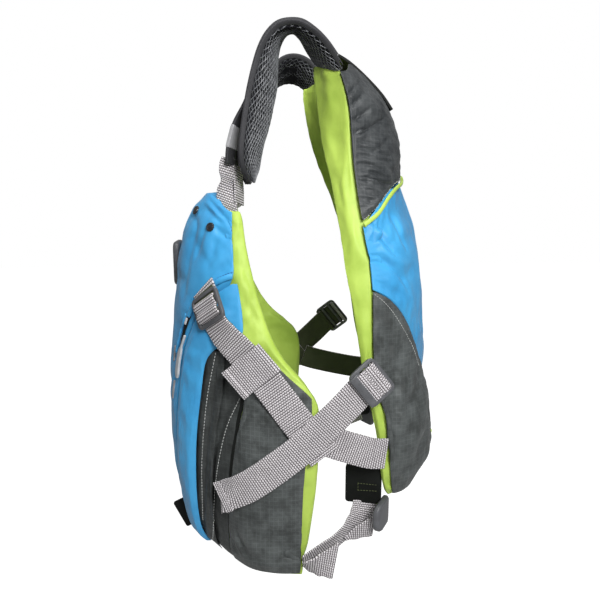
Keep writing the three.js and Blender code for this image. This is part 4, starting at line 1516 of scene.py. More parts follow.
@dataclass
class BackPanel:
    """The foam back panel with its lime lining and three covers.

    Attributes:
        stitch_drop_mm: Distance of the stitches from the piping.
        seam_lift_mm: How far the piped seam runs above its solid, by distance from the middle.
        seam_reach_mm: How far from the seam the covers follow it.
        root_lift_mm: How far the top is drawn up to the roots of the shoulder straps.
        root_out_mm: Distance of those roots from the middle.
        root_wide_mm: Half the width that is drawn up.
        root_foot_mm: Height where that begins.
        root_rise_mm: Height over which it grows to the whole lift.
        inner_mm: How far back the lining is drawn up.
        inner_fade_mm: Depth over which that ends.
        cover_share: Lift of the covers, compared with that of the lining.
        cord_off_mm: How far the piping stands off the back.
        cord_up_mm: How far its middle lies above the seam.
        cord_mm: Its width and thickness.
        pieces: Its finished panels by name.
        seam: The piped seam of the solids.
        outside: The outside of the solids.
        piping: The line of the finished piping.
    """

    stitch_drop_mm: float = 4.0
    seam_lift_mm: Sequence[tuple[float, float]] = (
        (0.0, 0.0), (26.0, 0.0), (51.0, 6.0), (74.0, 13.0), (94.0, 21.0), (111.0, 22.0), (122.0, 14.0),
        (128.0, 3.0),
    )
    seam_reach_mm: float = 60.0
    root_lift_mm: float = 11.0
    root_out_mm: float = 55.0
    root_wide_mm: float = 32.0
    root_foot_mm: float = -85.0
    root_rise_mm: float = 45.0
    inner_mm: float = 50.0
    inner_fade_mm: float = 8.0
    cover_share: float = 1.2
    cord_off_mm: float = 1.6
    cord_up_mm: float = 1.8
    cord_mm: tuple[float, float] = (2.8, 3.0)
    pieces: dict[str, Piece] = field(init=False)
    seam: list[Vector] = field(init=False)
    outside: Surface = field(init=False)
    piping: list[Vector] = field(init=False)

    def __post_init__(self) -> None:
        """Reads the seam and the outside of the back from the solids."""
        self.seam = sorted((s.middle for s in SectionReader("back_piping").stations()), key=lambda p: p.x)
        self.outside = Surface(*(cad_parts[name] for name in ("back_upper", "back_middle")))

    def lift(self, x: float) -> float:
        """Returns how far the seam is lifted at a distance from the middle, in metres."""
        return float(np.interp(abs(x) / MM, *zip(*self.seam_lift_mm))) * MM

    def follow_seam(self, point: Vector) -> Vector:
        """Moves a point of a cover with the lifted seam, along the outside of the back.

        Args:
            point: The point.

        Returns:
            Its new place.
        """
        height = float(np.interp(point.x, [p.x for p in self.seam], [p.z for p in self.seam]))
        share = max(0.0, 1 - abs(point.z - height) / (self.seam_reach_mm * MM))
        rise = self.lift(point.x) * share * share * (3 - 2 * share)
        if rise < 1e-6:
            return point + self.root_pull(point) * self.cover_share
        start, _ = self.outside.nearest(point)
        end, _ = self.outside.nearest(start + Vector((0, 0, rise)))
        return end + (point - start)

    def root_pull(self, point: Vector) -> Vector:
        """Returns how far a point near the top is drawn up to the shoulder strap on its side."""
        near = math.exp(-(((abs(point.x) / MM - self.root_out_mm) / self.root_wide_mm) ** 2))
        high = min(max((point.z / MM - self.root_foot_mm) / self.root_rise_mm, 0.0), 1.0)
        return Vector((0, 0, self.root_lift_mm * MM * near * high))

    def draw_up(self, point: Vector) -> Vector:
        """Moves a point of the lining up to the shoulder strap on its side."""
        share = min(max((self.inner_mm - point.y / MM) / self.inner_fade_mm, 0.0), 1.0)
        return point + self.root_pull(point) * share

    def build(self) -> None:
        """Builds the lining, the covers and their trim."""
        self.pieces = {name: panel.build() for name, panel in self.panels().items()}
        self.build_piping()
        follow_solid("back_flap", BLACK, "cloth", columns=10, step_mm=3.0)
        ClothPiece("back_tag", LIME, bevel_mm=0.6).build()
        self.sew()

    def panels(self) -> dict[str, SoftPanel]:
        """Lists the lining and the covers in the order of sewing.

        Returns:
            The panels by name.
        """
        follow = self.follow_seam
        return {
            "lining": SoftPanel(
                "back_lining", LIME, crease=0.35, reshape=self.draw_up, pressure=0.8, spare=0.015, cap_mm=2.0,
                fill=0.8,
                wrinkles=(
                    Wrinkles((0.0, 0.12, 1.0), 120, 16, 1.6, 3.0), Wrinkles((0, 1, 0.5), 40, 9, 0.7, 5.0),
                ),
            ),
            "upper": SoftPanel(
                "back_upper", CHARCOAL, spare=0.03, cap_mm=3.0, final=2, reshape=follow, folds=UPPER_FOLDS,
                wrinkles=(
                    Wrinkles((0.3, 1.0, -0.2), 70, 14, 0.7, 7.0, True),
                    Wrinkles((0.2, 1.0, 0.3), 40, 8, 0.5, 2.0, True),
                ),
            ),
            "middle": SoftPanel(
                "back_middle", BLUE, spare=0.02, cap_mm=3.0, final=2, reshape=follow, folds=MIDDLE_FOLDS,
                wrinkles=(Wrinkles((0.2, 0.6, -1.0), 90, 18, 1.8, 11.0),),
            ),
            "lower": SoftPanel(
                "back_lower", HEATHER, spare=0.025, cap_mm=3.0, folds=LOWER_FOLDS,
                wrinkles=(
                    Wrinkles((0.2, 0.8, 0.7), 70, 12, 1.6, 17.0), Wrinkles((0, 0.2, 1.0), 50, 9, 0.9, 19.0),
                ),
            ),
        }

    def build_piping(self) -> None:
        """Builds the piping along the lifted seam, as a round cord that stands off the back."""
        wide, thick = self.cord_mm
        stations = []
        for k, place in enumerate(self.seam):
            start, _ = self.outside.nearest(place)
            end, normal = self.outside.nearest(start + Vector((0, 0, self.lift(place.x))))
            along = self.seam[min(k + 1, len(self.seam) - 1)] - self.seam[max(k - 1, 0)]
            up = normal.cross(along).normalized()
            up = up if up.z > 0 else -up
            middle = end + normal * (self.cord_off_mm * MM) + up * (self.cord_up_mm * MM)
            stations.append(Station(middle, up * (wide * MM), normal * MM))
        self.piping = smooth_line([s.middle for s in stations], 2 * MM)
        Ribbon(
            "back_piping_cord", stations, LIME, thick, ("back_piping",), columns=4, crown_mm=0.5, bevel_mm=0.9
        ).build()

    def sew(self) -> None:
        """Sews the seams beside the piping and below the blue cover."""
        upper, middle, lower = (self.pieces[name] for name in ("upper", "middle", "lower"))
        drop = Vector((0, 0, self.stitch_drop_mm * MM))
        StitchRow("piping_stitches").build([[p + drop for p in self.piping]], Surface(upper))
        seam = Surface(lower, middle).line(LOWER_SEAM)
        StitchRow("lower_stitches").build([seam, *flipped([seam])], Surface(lower))


CHEST_SEAM = ((237, 275), (226, 278), (214, 284), (203, 293), (195, 304), (189, 316))
CHEST_ROWS = (
    tuple((u + 1, v - 4) for u, v in CHEST_SEAM),
    ((231, 226), (233, 240), (235, 256), (236, 270)),
    ((243, 284), (247, 302), (254, 320), (262, 334)),
)
PLEAT_ROWS = (
    ((216, 352), (207, 400), (202, 460), (203, 520)),
    ((240, 398), (226, 430), (216, 480), (213, 540)),
)
# A black strip here is painted shadow in the hollow between the inner pleat and the side.
PLEAT_SHADOW = ((243, 396), (241, 408), (238, 422), (236, 436), (233, 452), (231, 470), (229, 500))
ZIP_GAP = ((190, 315), (186, 326), (183, 338), (180, 353))
ZIP_EDGE = ((187, 314), (183, 326), (180, 338), (177, 353))
ZIP_SLIDER = ((188, 318), (187, 321), (186, 324))
UPPER_STRIP = ((176, 346), (175, 354), (174, 363))
LOWER_STRIP = ((175, 380), (174, 388), (173, 398))

# Creases round the eyelets and down the chest
CHEST_FOLDS = (
    Fold(((209, 199), (216, 208), (226, 219), (232, 227)), 1.8, 2.2),
    Fold(((203, 204), (212, 215), (224, 226)), 2.0, 2.6),
    Fold(((212, 224), (222, 234), (233, 239)), 2.4, 3.5),
    Fold(((207, 224), (199, 246), (193, 262)), 2.0, 4.0),
    Fold(((231, 262), (222, 270), (212, 278)), 2.0, 5.0),
    Fold(((196, 230), (188, 262), (184, 300)), 1.8, 5.0),
    Fold(((216, 236), (212, 254), (206, 268)), 1.6, 4.0),
    Fold(((191, 212), (196, 222), (194, 236)), 1.6, 3.0),
)
# The hollows between the pleats
PLEAT_FOLDS = (
    Fold(((221, 352), (213, 392), (206, 440), (203, 500), (206, 540)), 3.0, 3.0),
    Fold(((207, 350), (199, 400), (195, 460), (197, 520)), 2.4, 3.0),
    Fold(((236, 394), (224, 420), (213, 460), (209, 520)), 2.6, 3.0),
)
# Where the straps and the foot seam draw the lime edge in
LINING_FOLDS = (
    Fold(((306, 552), (305, 562), (303, 574)), 4.0, 6.0),
    Fold(((262, 352), (272, 362), (282, 372)), 2.6, 5.0),
    Fold(((244, 300), (252, 312), (256, 326)), 1.6, 4.0),
    Fold(((240, 262), (246, 274), (250, 290)), 1.6, 4.0),
)
# Creases below the keeper, under the cross strap and at the low back corner of the side
SIDE_FOLDS = (
    Fold(((250, 398), (262, 402), (276, 414)), 1.8, 3.0),
    Fold(((252, 404), (258, 416), (270, 428)), 1.4, 3.0),
    Fold(((284, 420), (276, 428), (266, 434)), 1.4, 3.0),
    Fold(((300, 560), (288, 556), (278, 546)), 2.2, 3.0),
    Fold(((301, 548), (290, 552), (282, 562)), 1.8, 3.0),
    Fold(((300, 530), (288, 536), (276, 536)), 1.4, 3.0),
    Fold(((232, 520), (238, 540), (250, 560)), 1.6, 3.5),
    Fold(((246, 516), (252, 534), (262, 552)), 1.4, 3.5),
    Fold(((262, 508), (266, 524), (272, 540)), 1.2, 3.5),
    Fold(((226, 512), (228, 530), (234, 548)), 1.6, 3.0),
    Fold(((252, 400), (240, 424), (231, 462), (227, 520)), 1.6, 4.0),
)


@dataclass
class FrontHalf:
    """One front half: lining, chest, bellows pocket and side.

    Attributes:
        side: Side of the wearer.
        twin: The left half, which the photograph shows, if this is the right one.
        hole_mm: Radius of the black plug in an eyelet, painted shade of its hollow.
        hole_deep_mm: Its depth.
        pull_marks: Places along the zip's pull, as shares of its length.
        pull_widths: Its width there, compared with its solid's.
        pieces: Its finished panels by name.
    """

    side: Side
    twin: Optional["FrontHalf"] = None
    hole_mm: float = 2.6
    hole_deep_mm: float = 1.6
    pull_marks: Sequence[float] = (0.0, 0.28, 0.4, 0.9, 1.0)
    pull_widths: Sequence[float] = (0.3, 0.3, 0.95, 1.15, 0.6)
    pieces: dict[str, Piece] = field(init=False)

    def build(self) -> None:
        """Builds the panels of this half and their trim."""
        self.pieces = {name: panel.build() for name, panel in self.panels().items()}
        ClothPiece(f"pocket_zip_{self.side.tag}", BLACK, "tape", sharp_deg=60.0).build()
        self.build_eyelets()
        self.build_pull()
        self.lay_tapes()
        tag = self.side.tag
        self.sew(StitchRow(f"chest_stitches_{tag}", BLUE_THREAD, thick_mm=0.8), CHEST_ROWS, "chest", "face")
        pleats = StitchRow(f"pleat_stitches_{tag}", pitch_mm=3.6, long_mm=2.4, thick_mm=0.9)
        self.sew(pleats, PLEAT_ROWS, "outer", "inner", "side")

    def panels(self) -> dict[str, SoftPanel]:
        """Lists the panels of this half in the order of sewing.

        Returns:
            The panels by name.
        """
        tag = self.side.tag
        mirror = self.side is Side.RIGHT
        pleats = {
            which: SoftPanel(
                f"pocket_pleat_{which}_{tag}", SHADED_HEATHER, crease=0.8, pressure=0.6, spare=0.015,
                cap_mm=1.6, fill=0.4, folds=PLEAT_FOLDS, mirror=mirror,
                wrinkles=(Wrinkles((0.0, 0.15, 1.0), 45, 14, 1.2, seed),),
            )
            for which, seed in (("outer", 41.0), ("inner", 43.0))
        }
        return {
            "lining": SoftPanel(
                f"front_lining_{tag}", LIME, crease=0.25, pressure=0.8, spare=0.012, cap_mm=2.0, fill=0.8,
                folds=LINING_FOLDS, mirror=mirror,
                wrinkles=(
                    Wrinkles((0.2, 0.2, 1.0), 90, 18, 1.4, 23.0), Wrinkles((0, 1, 0.2), 30, 8, 0.5, 29.0),
                ),
            ),
            "chest": SoftPanel(
                f"front_chest_{tag}", BLUE, spare=0.015, cap_mm=2.5, mirror=mirror, folds=CHEST_FOLDS,
                wrinkles=(Wrinkles((0.1, -0.1, 1.0), 110, 16, 1.2, 31.0),),
            ),
            "face": SoftPanel(
                f"pocket_face_{tag}", BLUE, spare=0.012, cap_mm=2.0,
                wrinkles=(Wrinkles((0.0, 0.3, 1.0), 80, 12, 1.0, 37.0),),
            ),
            **pleats,
            "side": SoftPanel(
                f"front_side_{tag}", HEATHER, crease=0.8, pressure=0.5, spare=0.02, cap_mm=2.2,
                final=1 if mirror else 2, folds=SIDE_FOLDS, mirror=mirror,
                wrinkles=(
                    Wrinkles((0.0, 0.6, 1.0), 60, 14, 1.5, 47.0), Wrinkles((0, 1.0, 0.1), 40, 10, 0.8, 53.0),
                ),
            ),
        }

    def build_eyelets(self) -> None:
        """Builds the two black grommets and a black plug of painted shade in each one's hollow."""
        for which in ("upper", "lower"):
            ring = HardPiece(f"eyelet_{which}_{self.side.tag}", BLACK_PLASTIC, 0.4, 2).build()
            places = Bench.places(ring)
            middle = places.mean(axis=0)
            spread = np.linalg.svd(places - middle)[2]
            # The black plug is painted shade inside the grommet's hole.
            bpy.ops.object.select_all(action="DESELECT")
            bpy.ops.mesh.primitive_cylinder_add(
                vertices=24, radius=self.hole_mm * MM, depth=self.hole_deep_mm * MM
            )
            plug = bpy.context.object
            plug.name = f"eyelet_{which}_{self.side.tag}_hole"
            turn = Vector((0, 0, 1)).rotation_difference(Vector(spread[2])).to_matrix().to_4x4()
            plug.data.transform(Matrix.Translation(Vector(middle)) @ turn)
            Bench.bevel(plug, 0.4, 2, 30)
            Bench.finish(plug, BLACK_PLASTIC, sharp_deg=40.0)

    def build_pull(self) -> None:
        """Builds the zip's hanging pull: a thin cord that widens to a paddle."""
        node = f"zip_pull_{self.side.tag}"
        stations = from_end(smooth_stations(SectionReader(node).stations(), 2 * MM), lambda p: -p.z)
        widths = np.interp(np.linspace(0.0, 1.0, len(stations)), self.pull_marks, self.pull_widths)
        shaped = [Station(s.middle, s.across * w, s.out) for s, w in zip(stations, widths)]
        Ribbon(f"{node}_paddle", shaped, PALE, 2.4, (node,), columns=4, step_mm=1.2, bevel_mm=0.8).build()

    def surfaces(self, *names: str) -> tuple[Surface, Optional[Surface]]:
        """Returns the photographed surface of some panels, and this side's own if it isn't that one."""
        own = Surface(*(self.pieces[name] for name in names))
        if self.twin is None:
            return own, None
        return Surface(*(self.twin.pieces[name] for name in names)), own

    def lay_tapes(self) -> None:
        """Lays the rolled seam of the chest, the zip's gap, edge and slider, the pale strips, and a black
        strip of painted shadow in the hollow between the inner pleat and the side.
        """
        tag = self.side.tag
        chest = self.surfaces("chest", "face")
        for tape in (
            SurfaceTape(f"chest_seam_{tag}", CHEST_SEAM, 5.0, BLUE, 2.0, 0.7, 1.0),
            SurfaceTape(f"zip_gap_{tag}", ZIP_GAP, 5.0, BLACK, 0.8, 0.5),
            SurfaceTape(f"zip_edge_{tag}", ZIP_EDGE, 3.0, BLUE, 1.6, 0.7, 0.7),
            SurfaceTape(f"pale_strip_upper_{tag}", UPPER_STRIP, 5.0, REFLECTIVE, 0.8),
            SurfaceTape(f"pale_strip_lower_{tag}", LOWER_STRIP, 3.5, REFLECTIVE, 0.8),
            SurfaceTape(f"zip_slider_{tag}", ZIP_SLIDER, 2.6, SILVER, 2.0, 1.0),
        ):
            tape.build(*chest)
        # Painted shadow: a black strip just under the cloth in the hollow between the inner pleat and the
        # side.
        gap = SurfaceTape(f"pleat_gap_{tag}", PLEAT_SHADOW, 4.0, BLACK, 0.8, -0.3)
        gap.build(*self.surfaces("inner", "side"))

    def sew(self, stitches: StitchRow, rows: Sequence[Pixels], *names: str) -> None:
        """Sews rows of stitches on some panels.

        Args:
            stitches: The stitches.
            rows: Places that each row passes on the photograph.
            names: The panels.
        """
        shown, own = self.surfaces(*names)
        lines = [shown.line(row) for row in rows]
        stitches.build(lines if own is None else flipped(lines), own or shown)


def pad_sections(node: str) -> list[list[Vector]]:
    """Reads the sections of a shoulder pad or its cover.

    Args:
        node: Name of the solid.

    Returns:
        Each section from its arm edge to its neck edge: five points inside, then five outside.
    """
    rings = SectionReader(node, 10).sections()
    middles = [middle_of(ring) for ring in rings]
    arch = middle_of(middles)
    result = []
    for k, ring in enumerate(rings):
        along = middles[min(k + 1, len(rings) - 1)] - middles[max(k - 1, 0)]
        far = max(ring, key=lambda p: max((p - q).length for q in ring))
        other = max(ring, key=lambda p: (p - far).length)
        arm, neck = (far, other) if abs(far.x) > abs(other.x) else (other, far)
        out = (neck - arm).cross(along).normalized()
        if out.dot(middles[k] - arch) < 0:
            out = -out
        row = sorted(ring, key=lambda p: (p - arm).dot(neck - arm))
        pairs = [sorted(row[i : i + 2], key=lambda p: p.dot(out)) for i in range(0, 10, 2)]
        result.append([p[0] for p in pairs] + [p[1] for p in pairs])
    return result


WEBBING_FRONT = (
    (229, 159, 587, 12, 2, 15), (228, 166, 586, 15, 3, 13), (228, 174, 586, 16, 3, 12),
    (229, 183, 592, 14, 4, 14), (227, 193, 593, 19, 6, 8), (227, 203, 595, 20, 8, 4),
    (229, 214, 599, 20, 9, 3),
)
WEBBING_REAR = (
    (237, 158, 594, 6, 1, 18), (238, 175, 598, 7, 1, 18), (239, 190, 600, 7, 1, 18),
    (239, 204, 602, 7, 1, 18),
)


@dataclass
class ShoulderStrap:
    """One padded shoulder strap with its mesh side, cover, loop and webbing.

    Attributes:
        side: Side of the wearer.
        hole_long_mm: Pitch of the mesh's holes along the strap.
        hole_wide_mm: Their pitch across it.
        filament_mm: Thickness of the mesh's filaments.
        lap_mm: How far the binding laps over the cover.
        proud_mm: How far the binding stands off the edge.
        tip_mm: Length of the rounding at the front end.
        tip_size: Width of the very end, compared with the strap's.
        tip_reach_mm: How far from the end a point may be rounded off.
        band: Where the reflective band begins and ends, as shares of the loop.
        tip: Middle of the front end.
        inward: Way from there into the pad.
    """

    side: Side
    hole_long_mm: float = 6.6
    hole_wide_mm: float = 5.4
    filament_mm: float = 1.3
    lap_mm: float = 6.0
    proud_mm: float = 1.2
    tip_mm: float = 18.0
    tip_size: float = 0.5
    tip_reach_mm: float = 60.0
    band: tuple[float, float] = (0.2, 0.5)
    tip: Vector = field(init=False)
    inward: Vector = field(init=False)

    def build(self) -> None:
        """Builds the strap."""
        tag = self.side.tag
        sections = pad_sections(f"shoulder_pad_{tag}")
        self.tip = min((middle_of(sections[k]) for k in (0, -1)), key=lambda p: p.y)
        near = min((middle_of(s) for s in sections[1:-1]), key=lambda p: (p - self.tip).length)
        self.inward = (near - self.tip).normalized()
        ClothPiece(f"shoulder_pad_{tag}", PAD_CORE, "core", sharp_deg=180.0, shape=self.stuff).build()
        self.build_net(sections)
        for edge in ("arm", "neck"):
            self.build_binding(sections, edge)
        ClothPiece(f"shoulder_cover_{tag}", SMOOTH_CHARCOAL, sharp_deg=70.0, shape=self.round_tip).build()
        follow_solid(f"shoulder_tab_{tag}", SMOOTH_CHARCOAL)
        self.build_band()
        self.build_webbing()

    def round_tip(self, piece: Piece) -> None:
        """Rounds off the front end of a piece of the pad.

        Args:
            piece: The piece.
        """
        places = Bench.places(piece)
        tip, inward = np.array(self.tip), np.array(self.inward)
        reach = (places - tip) @ inward
        near = np.linalg.norm(places - tip, axis=1) < self.tip_reach_mm * MM
        share = np.sin(np.clip(reach / (self.tip_mm * MM), 0.0, 1.0) * math.pi / 2)
        size = np.where(near, self.tip_size + (1 - self.tip_size) * share, 1.0)[:, None]
        axis = tip + reach[:, None] * inward
        Bench.move_to(piece, axis + (places - axis) * size)

    def stuff(self, piece: Piece) -> None:
        """Rounds off the pad's core."""
        self.round_tip(piece)

    def build_net(self, sections: Lines) -> None:
        """Lays a net of filaments over the mesh side of the pad.

        Args:
            sections: The pad's sections.
        """
        inside = [[s[5], *s[:5], s[9]] for s in sections]
        lines = [smooth_line([row[c] for row in inside], 1.5 * MM) for c in range(7)]
        length, width = running_length(lines[3])[-1], running_length(inside[7])[-1]
        columns, rows = round(width / (self.hole_wide_mm * MM)), round(length / (self.hole_long_mm * MM))
        piece = Bench.grid(f"shoulder_pad_{self.side.tag}_net", columns, rows)
        self.turn_to_diamonds(piece)
        for vertex in piece.data.vertices:
            along = vertex.co.y + 0.5
            row = [line[min(round(along * (len(line) - 1)), len(line) - 1)] for line in lines]
            vertex.co = self.across(row, vertex.co.x + 0.5)
        Bench.modifier(
            piece, "WIREFRAME", thickness=self.filament_mm * MM, use_even_offset=False, use_boundary=True,
            use_replace=True,
        )
        self.round_tip(piece)
        Bench.finish(piece, NET)

    @staticmethod
    def across(row: Line, share: float) -> Vector:
        """Returns the place at a share of the way along a row of points, by length."""
        marks = running_length(row)
        reach = share * marks[-1]
        k = max(0, min(int(np.searchsorted(marks, reach)) - 1, len(row) - 2))
        return row[k].lerp(row[k + 1], (reach - marks[k]) / max(marks[k + 1] - marks[k], 1e-9))

    @staticmethod
    def turn_to_diamonds(piece: Piece) -> None:
        """Turns a grid of squares into a grid of diamonds.

        Args:
            piece: The grid.
        """
        first = len(piece.data.vertices)
        with Bench.editing(piece):
            bpy.ops.mesh.select_mode(type="EDGE")
            bpy.ops.mesh.poke()
            bpy.ops.mesh.select_all(action="DESELECT")
        for edge in piece.data.edges:
            edge.select = max(edge.vertices) < first
        with Bench.editing(piece, None):
            bpy.ops.mesh.dissolve_edges(use_verts=False)

    def build_binding(self, sections: Lines, edge: str) -> None:
        """Binds one edge of the pad and its cover.

        Args:
            sections: The pad's sections.
            edge: Which edge, arm or neck.
        """
        covers = pad_sections(f"shoulder_cover_{self.side.tag}")
        if (covers[0][0] - sections[0][0]).length > (covers[-1][0] - sections[0][0]).length:
            covers.reverse()
        low, high, inner = (0, 5, 1) if edge == "arm" else (4, 9, 3)
        profiles = []
        for pad, cover in zip(sections, covers):
            way = (cover[inner + 5] - cover[high]).normalized()
            out = (cover[high] - pad[low]).normalized()
            side = way * (self.proud_mm * MM)
            lift = out * (self.proud_mm * 0.6 * MM)
            foot = pad[low].lerp(pad[high], 0.55)
            profiles.append((
                foot + side * 0.3, foot - side * 0.5, pad[high] - side, cover[high] - side,
                cover[high] - side * 0.3 + lift, cover[high] + way * (0.4 * self.lap_mm * MM) + lift,
                cover[high] + way * (self.lap_mm * MM) + lift,
            ))
        lines = [smooth_line([row[c] for row in profiles], 3 * MM) for c in range(7)]
        rows = min(len(line) for line in lines)
        piece = Bench.grid(f"shoulder_binding_{edge}_{self.side.tag}", len(lines) - 1, rows - 1)
        for vertex in piece.data.vertices:
            line = lines[round((vertex.co.x + 0.5) * (len(lines) - 1))]
            vertex.co = line[min(round((vertex.co.y + 0.5) * (rows - 1)), len(line) - 1)]
        Bench.modifier(piece, "SOLIDIFY", thickness=0.9 * MM, offset=0.0)
        Bench.subdivide(piece, 1)
        self.round_tip(piece)
        Bench.face_out(piece)
        Bench.project_uv(piece)
        Bench.finish(piece, SMOOTH_CHARCOAL)

    def build_band(self) -> None:
        """Builds the reflective band round the loop."""
        stations = smooth_stations(SectionReader(f"shoulder_tab_{self.side.tag}").stations(), 1.5 * MM)
        start, end = (round(share * len(stations)) for share in self.band)
        part = [
            Station(s.middle, s.across * 1.03, s.out) for s in from_end(stations, lambda p: p.z)[start:end]
        ]
        Ribbon(f"reflective_band_{self.side.tag}", part, REFLECTIVE, 3.7, columns=6).build()

    def build_webbing(self) -> None:
        """Builds the webbing that runs from the loop in an S into the chest, and its back layer."""
        name = "shoulder_webbing"
        node = f"{name}_{self.side.tag}"
        for part, rows, replaces in (("front", WEBBING_FRONT, (node,)), ("rear", WEBBING_REAR, ())):
            stations = shown_stations(rows, self.side, name)
            Ribbon(f"{node}_{part}", stations, WEBBING, 1.8, replaces).build()


WAIST_RUN = (
    (367, 500, 626, 28, 2, 3), (365, 509, 625, 27, 6, 6), (358, 519, 620, 20, 11, 14),
    (349, 529, 614, 14, 12, 20), (338, 539, 609, 11, 14, 20), (326, 548, 606, 9, 17, 18),
    (314, 556, 604, 6, 18, 16), (303, 562, 602, 2, 17, 16),
)
WAIST_FAN = (
    (303, 564, 597, -1, 13, 22), (311, 566, 596, 0, 20, 18), (322, 564, 596, -3, 28, 8),
    (336, 560, 598, -7, 38, 2),
)
WAIST_TAIL = ((345, 539, 612, 3, 4, 2), (358, 532, 614, 1, 15, 6), (374, 525, 617, -3, 24, 8))
SLEEVE_ROWS = (((357, 483), (376, 485)), ((357, 490), (376, 491)), ((358, 483), (358, 490)))


@dataclass
class SideHarness:
    """The webbing, locks, sleeve and buckle of one side.

    Attributes:
        side: Side of the wearer.
        end_mm: Height of the long strap's upright front end.
        tuck_mm: Way that the long strap's rear end goes in behind its lock, on the left.
        back_off_mm: How far a strap's strip of painted shade lies from the strap's middle.
        back_share: Width of that strip, compared with the strap's.
        hem_off_mm: How far a hem lies from the strap's middle.
        hem_share: Width of a hem, compared with the strap's.
        roll_mm: Width of a roll of webbing in the rear lock.
        plate_mm: Width of the rear lock's plate.
        rim_mm: Width of the rear lock's two side bars.
    """

    side: Side
    end_mm: float = 34.0
    tuck_mm: tuple[float, float, float] = (-7.0, 1.5, 1.0)
    back_off_mm: float = 1.5
    back_share: float = 0.96
    hem_off_mm: float = 2.4
    hem_share: float = 1.03
    roll_mm: float = 7.0
    plate_mm: float = 10.0
    rim_mm: float = 9.0

    def build(self) -> None:
        """Builds the harness."""
        tag = self.side.tag
        for node in ("side_strap_upper", "side_strap_rear"):
            follow_solid(f"{node}_{tag}", WEBBING)
        self.build_cross_strap()
        # The straps' inner faces get strips of painted shade.
        for node, tucked in (("side_strap_upper", 0), ("side_strap_rear", 0), ("side_strap_cross", 3)):
            self.build_back(f"{node}_{tag}", tucked)
        follow_solid(f"strap_keeper_{tag}", WEBBING, step_mm=2.0)
        self.build_waist_strap()
        self.build_hem(f"side_strap_upper_{tag}", lambda p: p.z, 8.0)
        self.build_hem(f"side_strap_cross_{tag}", lambda p: p.y, 9.0)
        self.build_hem(f"strap_keeper_{tag}", lambda p: p.y, 7.0)
        for node, edge_mm in (("front_ladder_lock", 0.9), ("rear_ladder_lock", 0.9), ("waist_buckle", 0.8)):
            HardPiece(f"{node}_{tag}", PLASTIC, edge_mm).build()
        self.dress_rear_lock()
        self.build_sleeve()

    def outward(self, way: Vector) -> Vector:
        """Returns a way turned to this side of the vest, with a length of 1."""
        return way.normalized() * math.copysign(1.0, way.x * self.side.value)

    def build_cross_strap(self) -> None:
        """Builds the long strap, with its rear end tucked in behind the rear lock."""
        node = f"side_strap_cross_{self.side.tag}"
        stations = from_end(SectionReader(node).stations(), lambda p: -p.y)
        across_x, back, up = self.tuck_mm
        tuck = Vector((across_x * self.side.value, back, up)) * MM
        stations[0] = Station(stations[1].middle + tuck, stations[1].across, stations[1].out)
        end = stations[-1]
        height = math.copysign(self.end_mm * MM, end.across.z)
        upright = Vector((end.across.x * 0.5, 0.1 * end.across.y, height))
        stations[-1] = Station(end.middle, upright, end.out)
        Ribbon(f"{node}_woven", stations, WEBBING, 2.0, (node,)).build()

    def build_back(self, node: str, tucked: int) -> None:
        """Lays a dark olive strip on the inner face of a strap: painted shade, tinted as by light bounced off
        the lime lining.

        Args:
            node: The strap's solid.
            tucked: Stations at the rear end that stay without it.
        """
        part = []
        for station in sorted(SectionReader(node).stations(), key=lambda s: -s.middle.y)[tucked:]:
            out = self.outward(station.out)
            middle = station.middle - out * (self.back_off_mm * MM)
            part.append(Station(middle, station.across * self.back_share, out * MM))
        Ribbon(f"{node}_backing", part, STRAP_SHADE, 0.8, columns=6, bevel_mm=0.2).build()

    def dress_rear_lock(self) -> None:
        """Adds the rear lock's broad plate, black strips of painted shade in its slots and the two rolls of
        webbing between its bars.
        """
        tag = self.side.tag
        places = Bench.places(bpy.data.objects[f"rear_ladder_lock_{tag}_moulded"])
        middle = Vector((places.min(axis=0) + places.max(axis=0)) / 2)
        axes = np.linalg.svd(places - places.mean(axis=0), full_matrices=False)[2]
        out = self.outward(Vector(axes[2]))
        straps = SectionReader(f"side_strap_cross_{tag}").stations()
        strap = min(straps, key=lambda s: (s.middle - middle).length)
        across = (strap.across - out * strap.across.dot(out)).normalized()
        along = out.cross(across).normalized()
        along = along if along.y < 0 else -along
        spans = [(places - np.array(middle)) @ np.array(way) for way in (along, across, out)]
        long, wide, thick = ((s.max() - s.min()) / MM for s in spans)
        edge, top, clear = long / 2 - self.plate_mm, thick / 2, wide - self.rim_mm
        bars = (
            ("plate", edge + self.plate_mm / 2, self.plate_mm, wide - 5, top + 0.2, PLASTIC, 2.4, 1.2),
            # The black slots are painted shade in the openings between the bars.
            ("slot_a", edge - 2, 4.0, clear, top - 0.2, BLACK_PLASTIC, 1.0, 0.0),
            ("roll_a", edge - 7, self.roll_mm, clear, top - 0.6, WEBBING, 1.6, 2.0),
            ("slot_b", edge - 11, 1.6, clear, top + 0.9, BLACK_PLASTIC, 1.0, 0.0),
            ("roll_b", edge - 15, self.roll_mm, clear, top - 0.6, WEBBING, 1.6, 2.0),
        )
        for name, place, width, length, lift, finish, depth, crown in bars:
            start = middle + along * (place * MM) + out * (lift * MM)
            ends = [start + across * (length * MM * share) for share in (-0.5, 0, 0.5)]
            stations = [Station(end, along * (width * MM), out * MM) for end in ends]
            Ribbon(f"rear_lock_{name}_{tag}", stations, finish, depth, crown_mm=crown, bevel_mm=0.4).build()

    def build_hem(self, node: str, order: Callable[[Vector], float], long_mm: float) -> None:
        """Folds one end of a strap back over itself.

        Args:
            node: The strap's solid.
            order: What is least at the end with the hem.
            long_mm: Length of the hem.
        """
        stations = from_end(smooth_stations(SectionReader(node).stations(), 1.0 * MM), order)
        part = []
        for station in stations[: round(long_mm)]:
            middle = station.middle + self.outward(station.out) * (self.hem_off_mm * MM)
            part.append(Station(middle, station.across * self.hem_share, station.out))
        Ribbon(f"{node}_hem", part, WEBBING, 1.9, step_mm=1.0, bevel_mm=0.7).build()

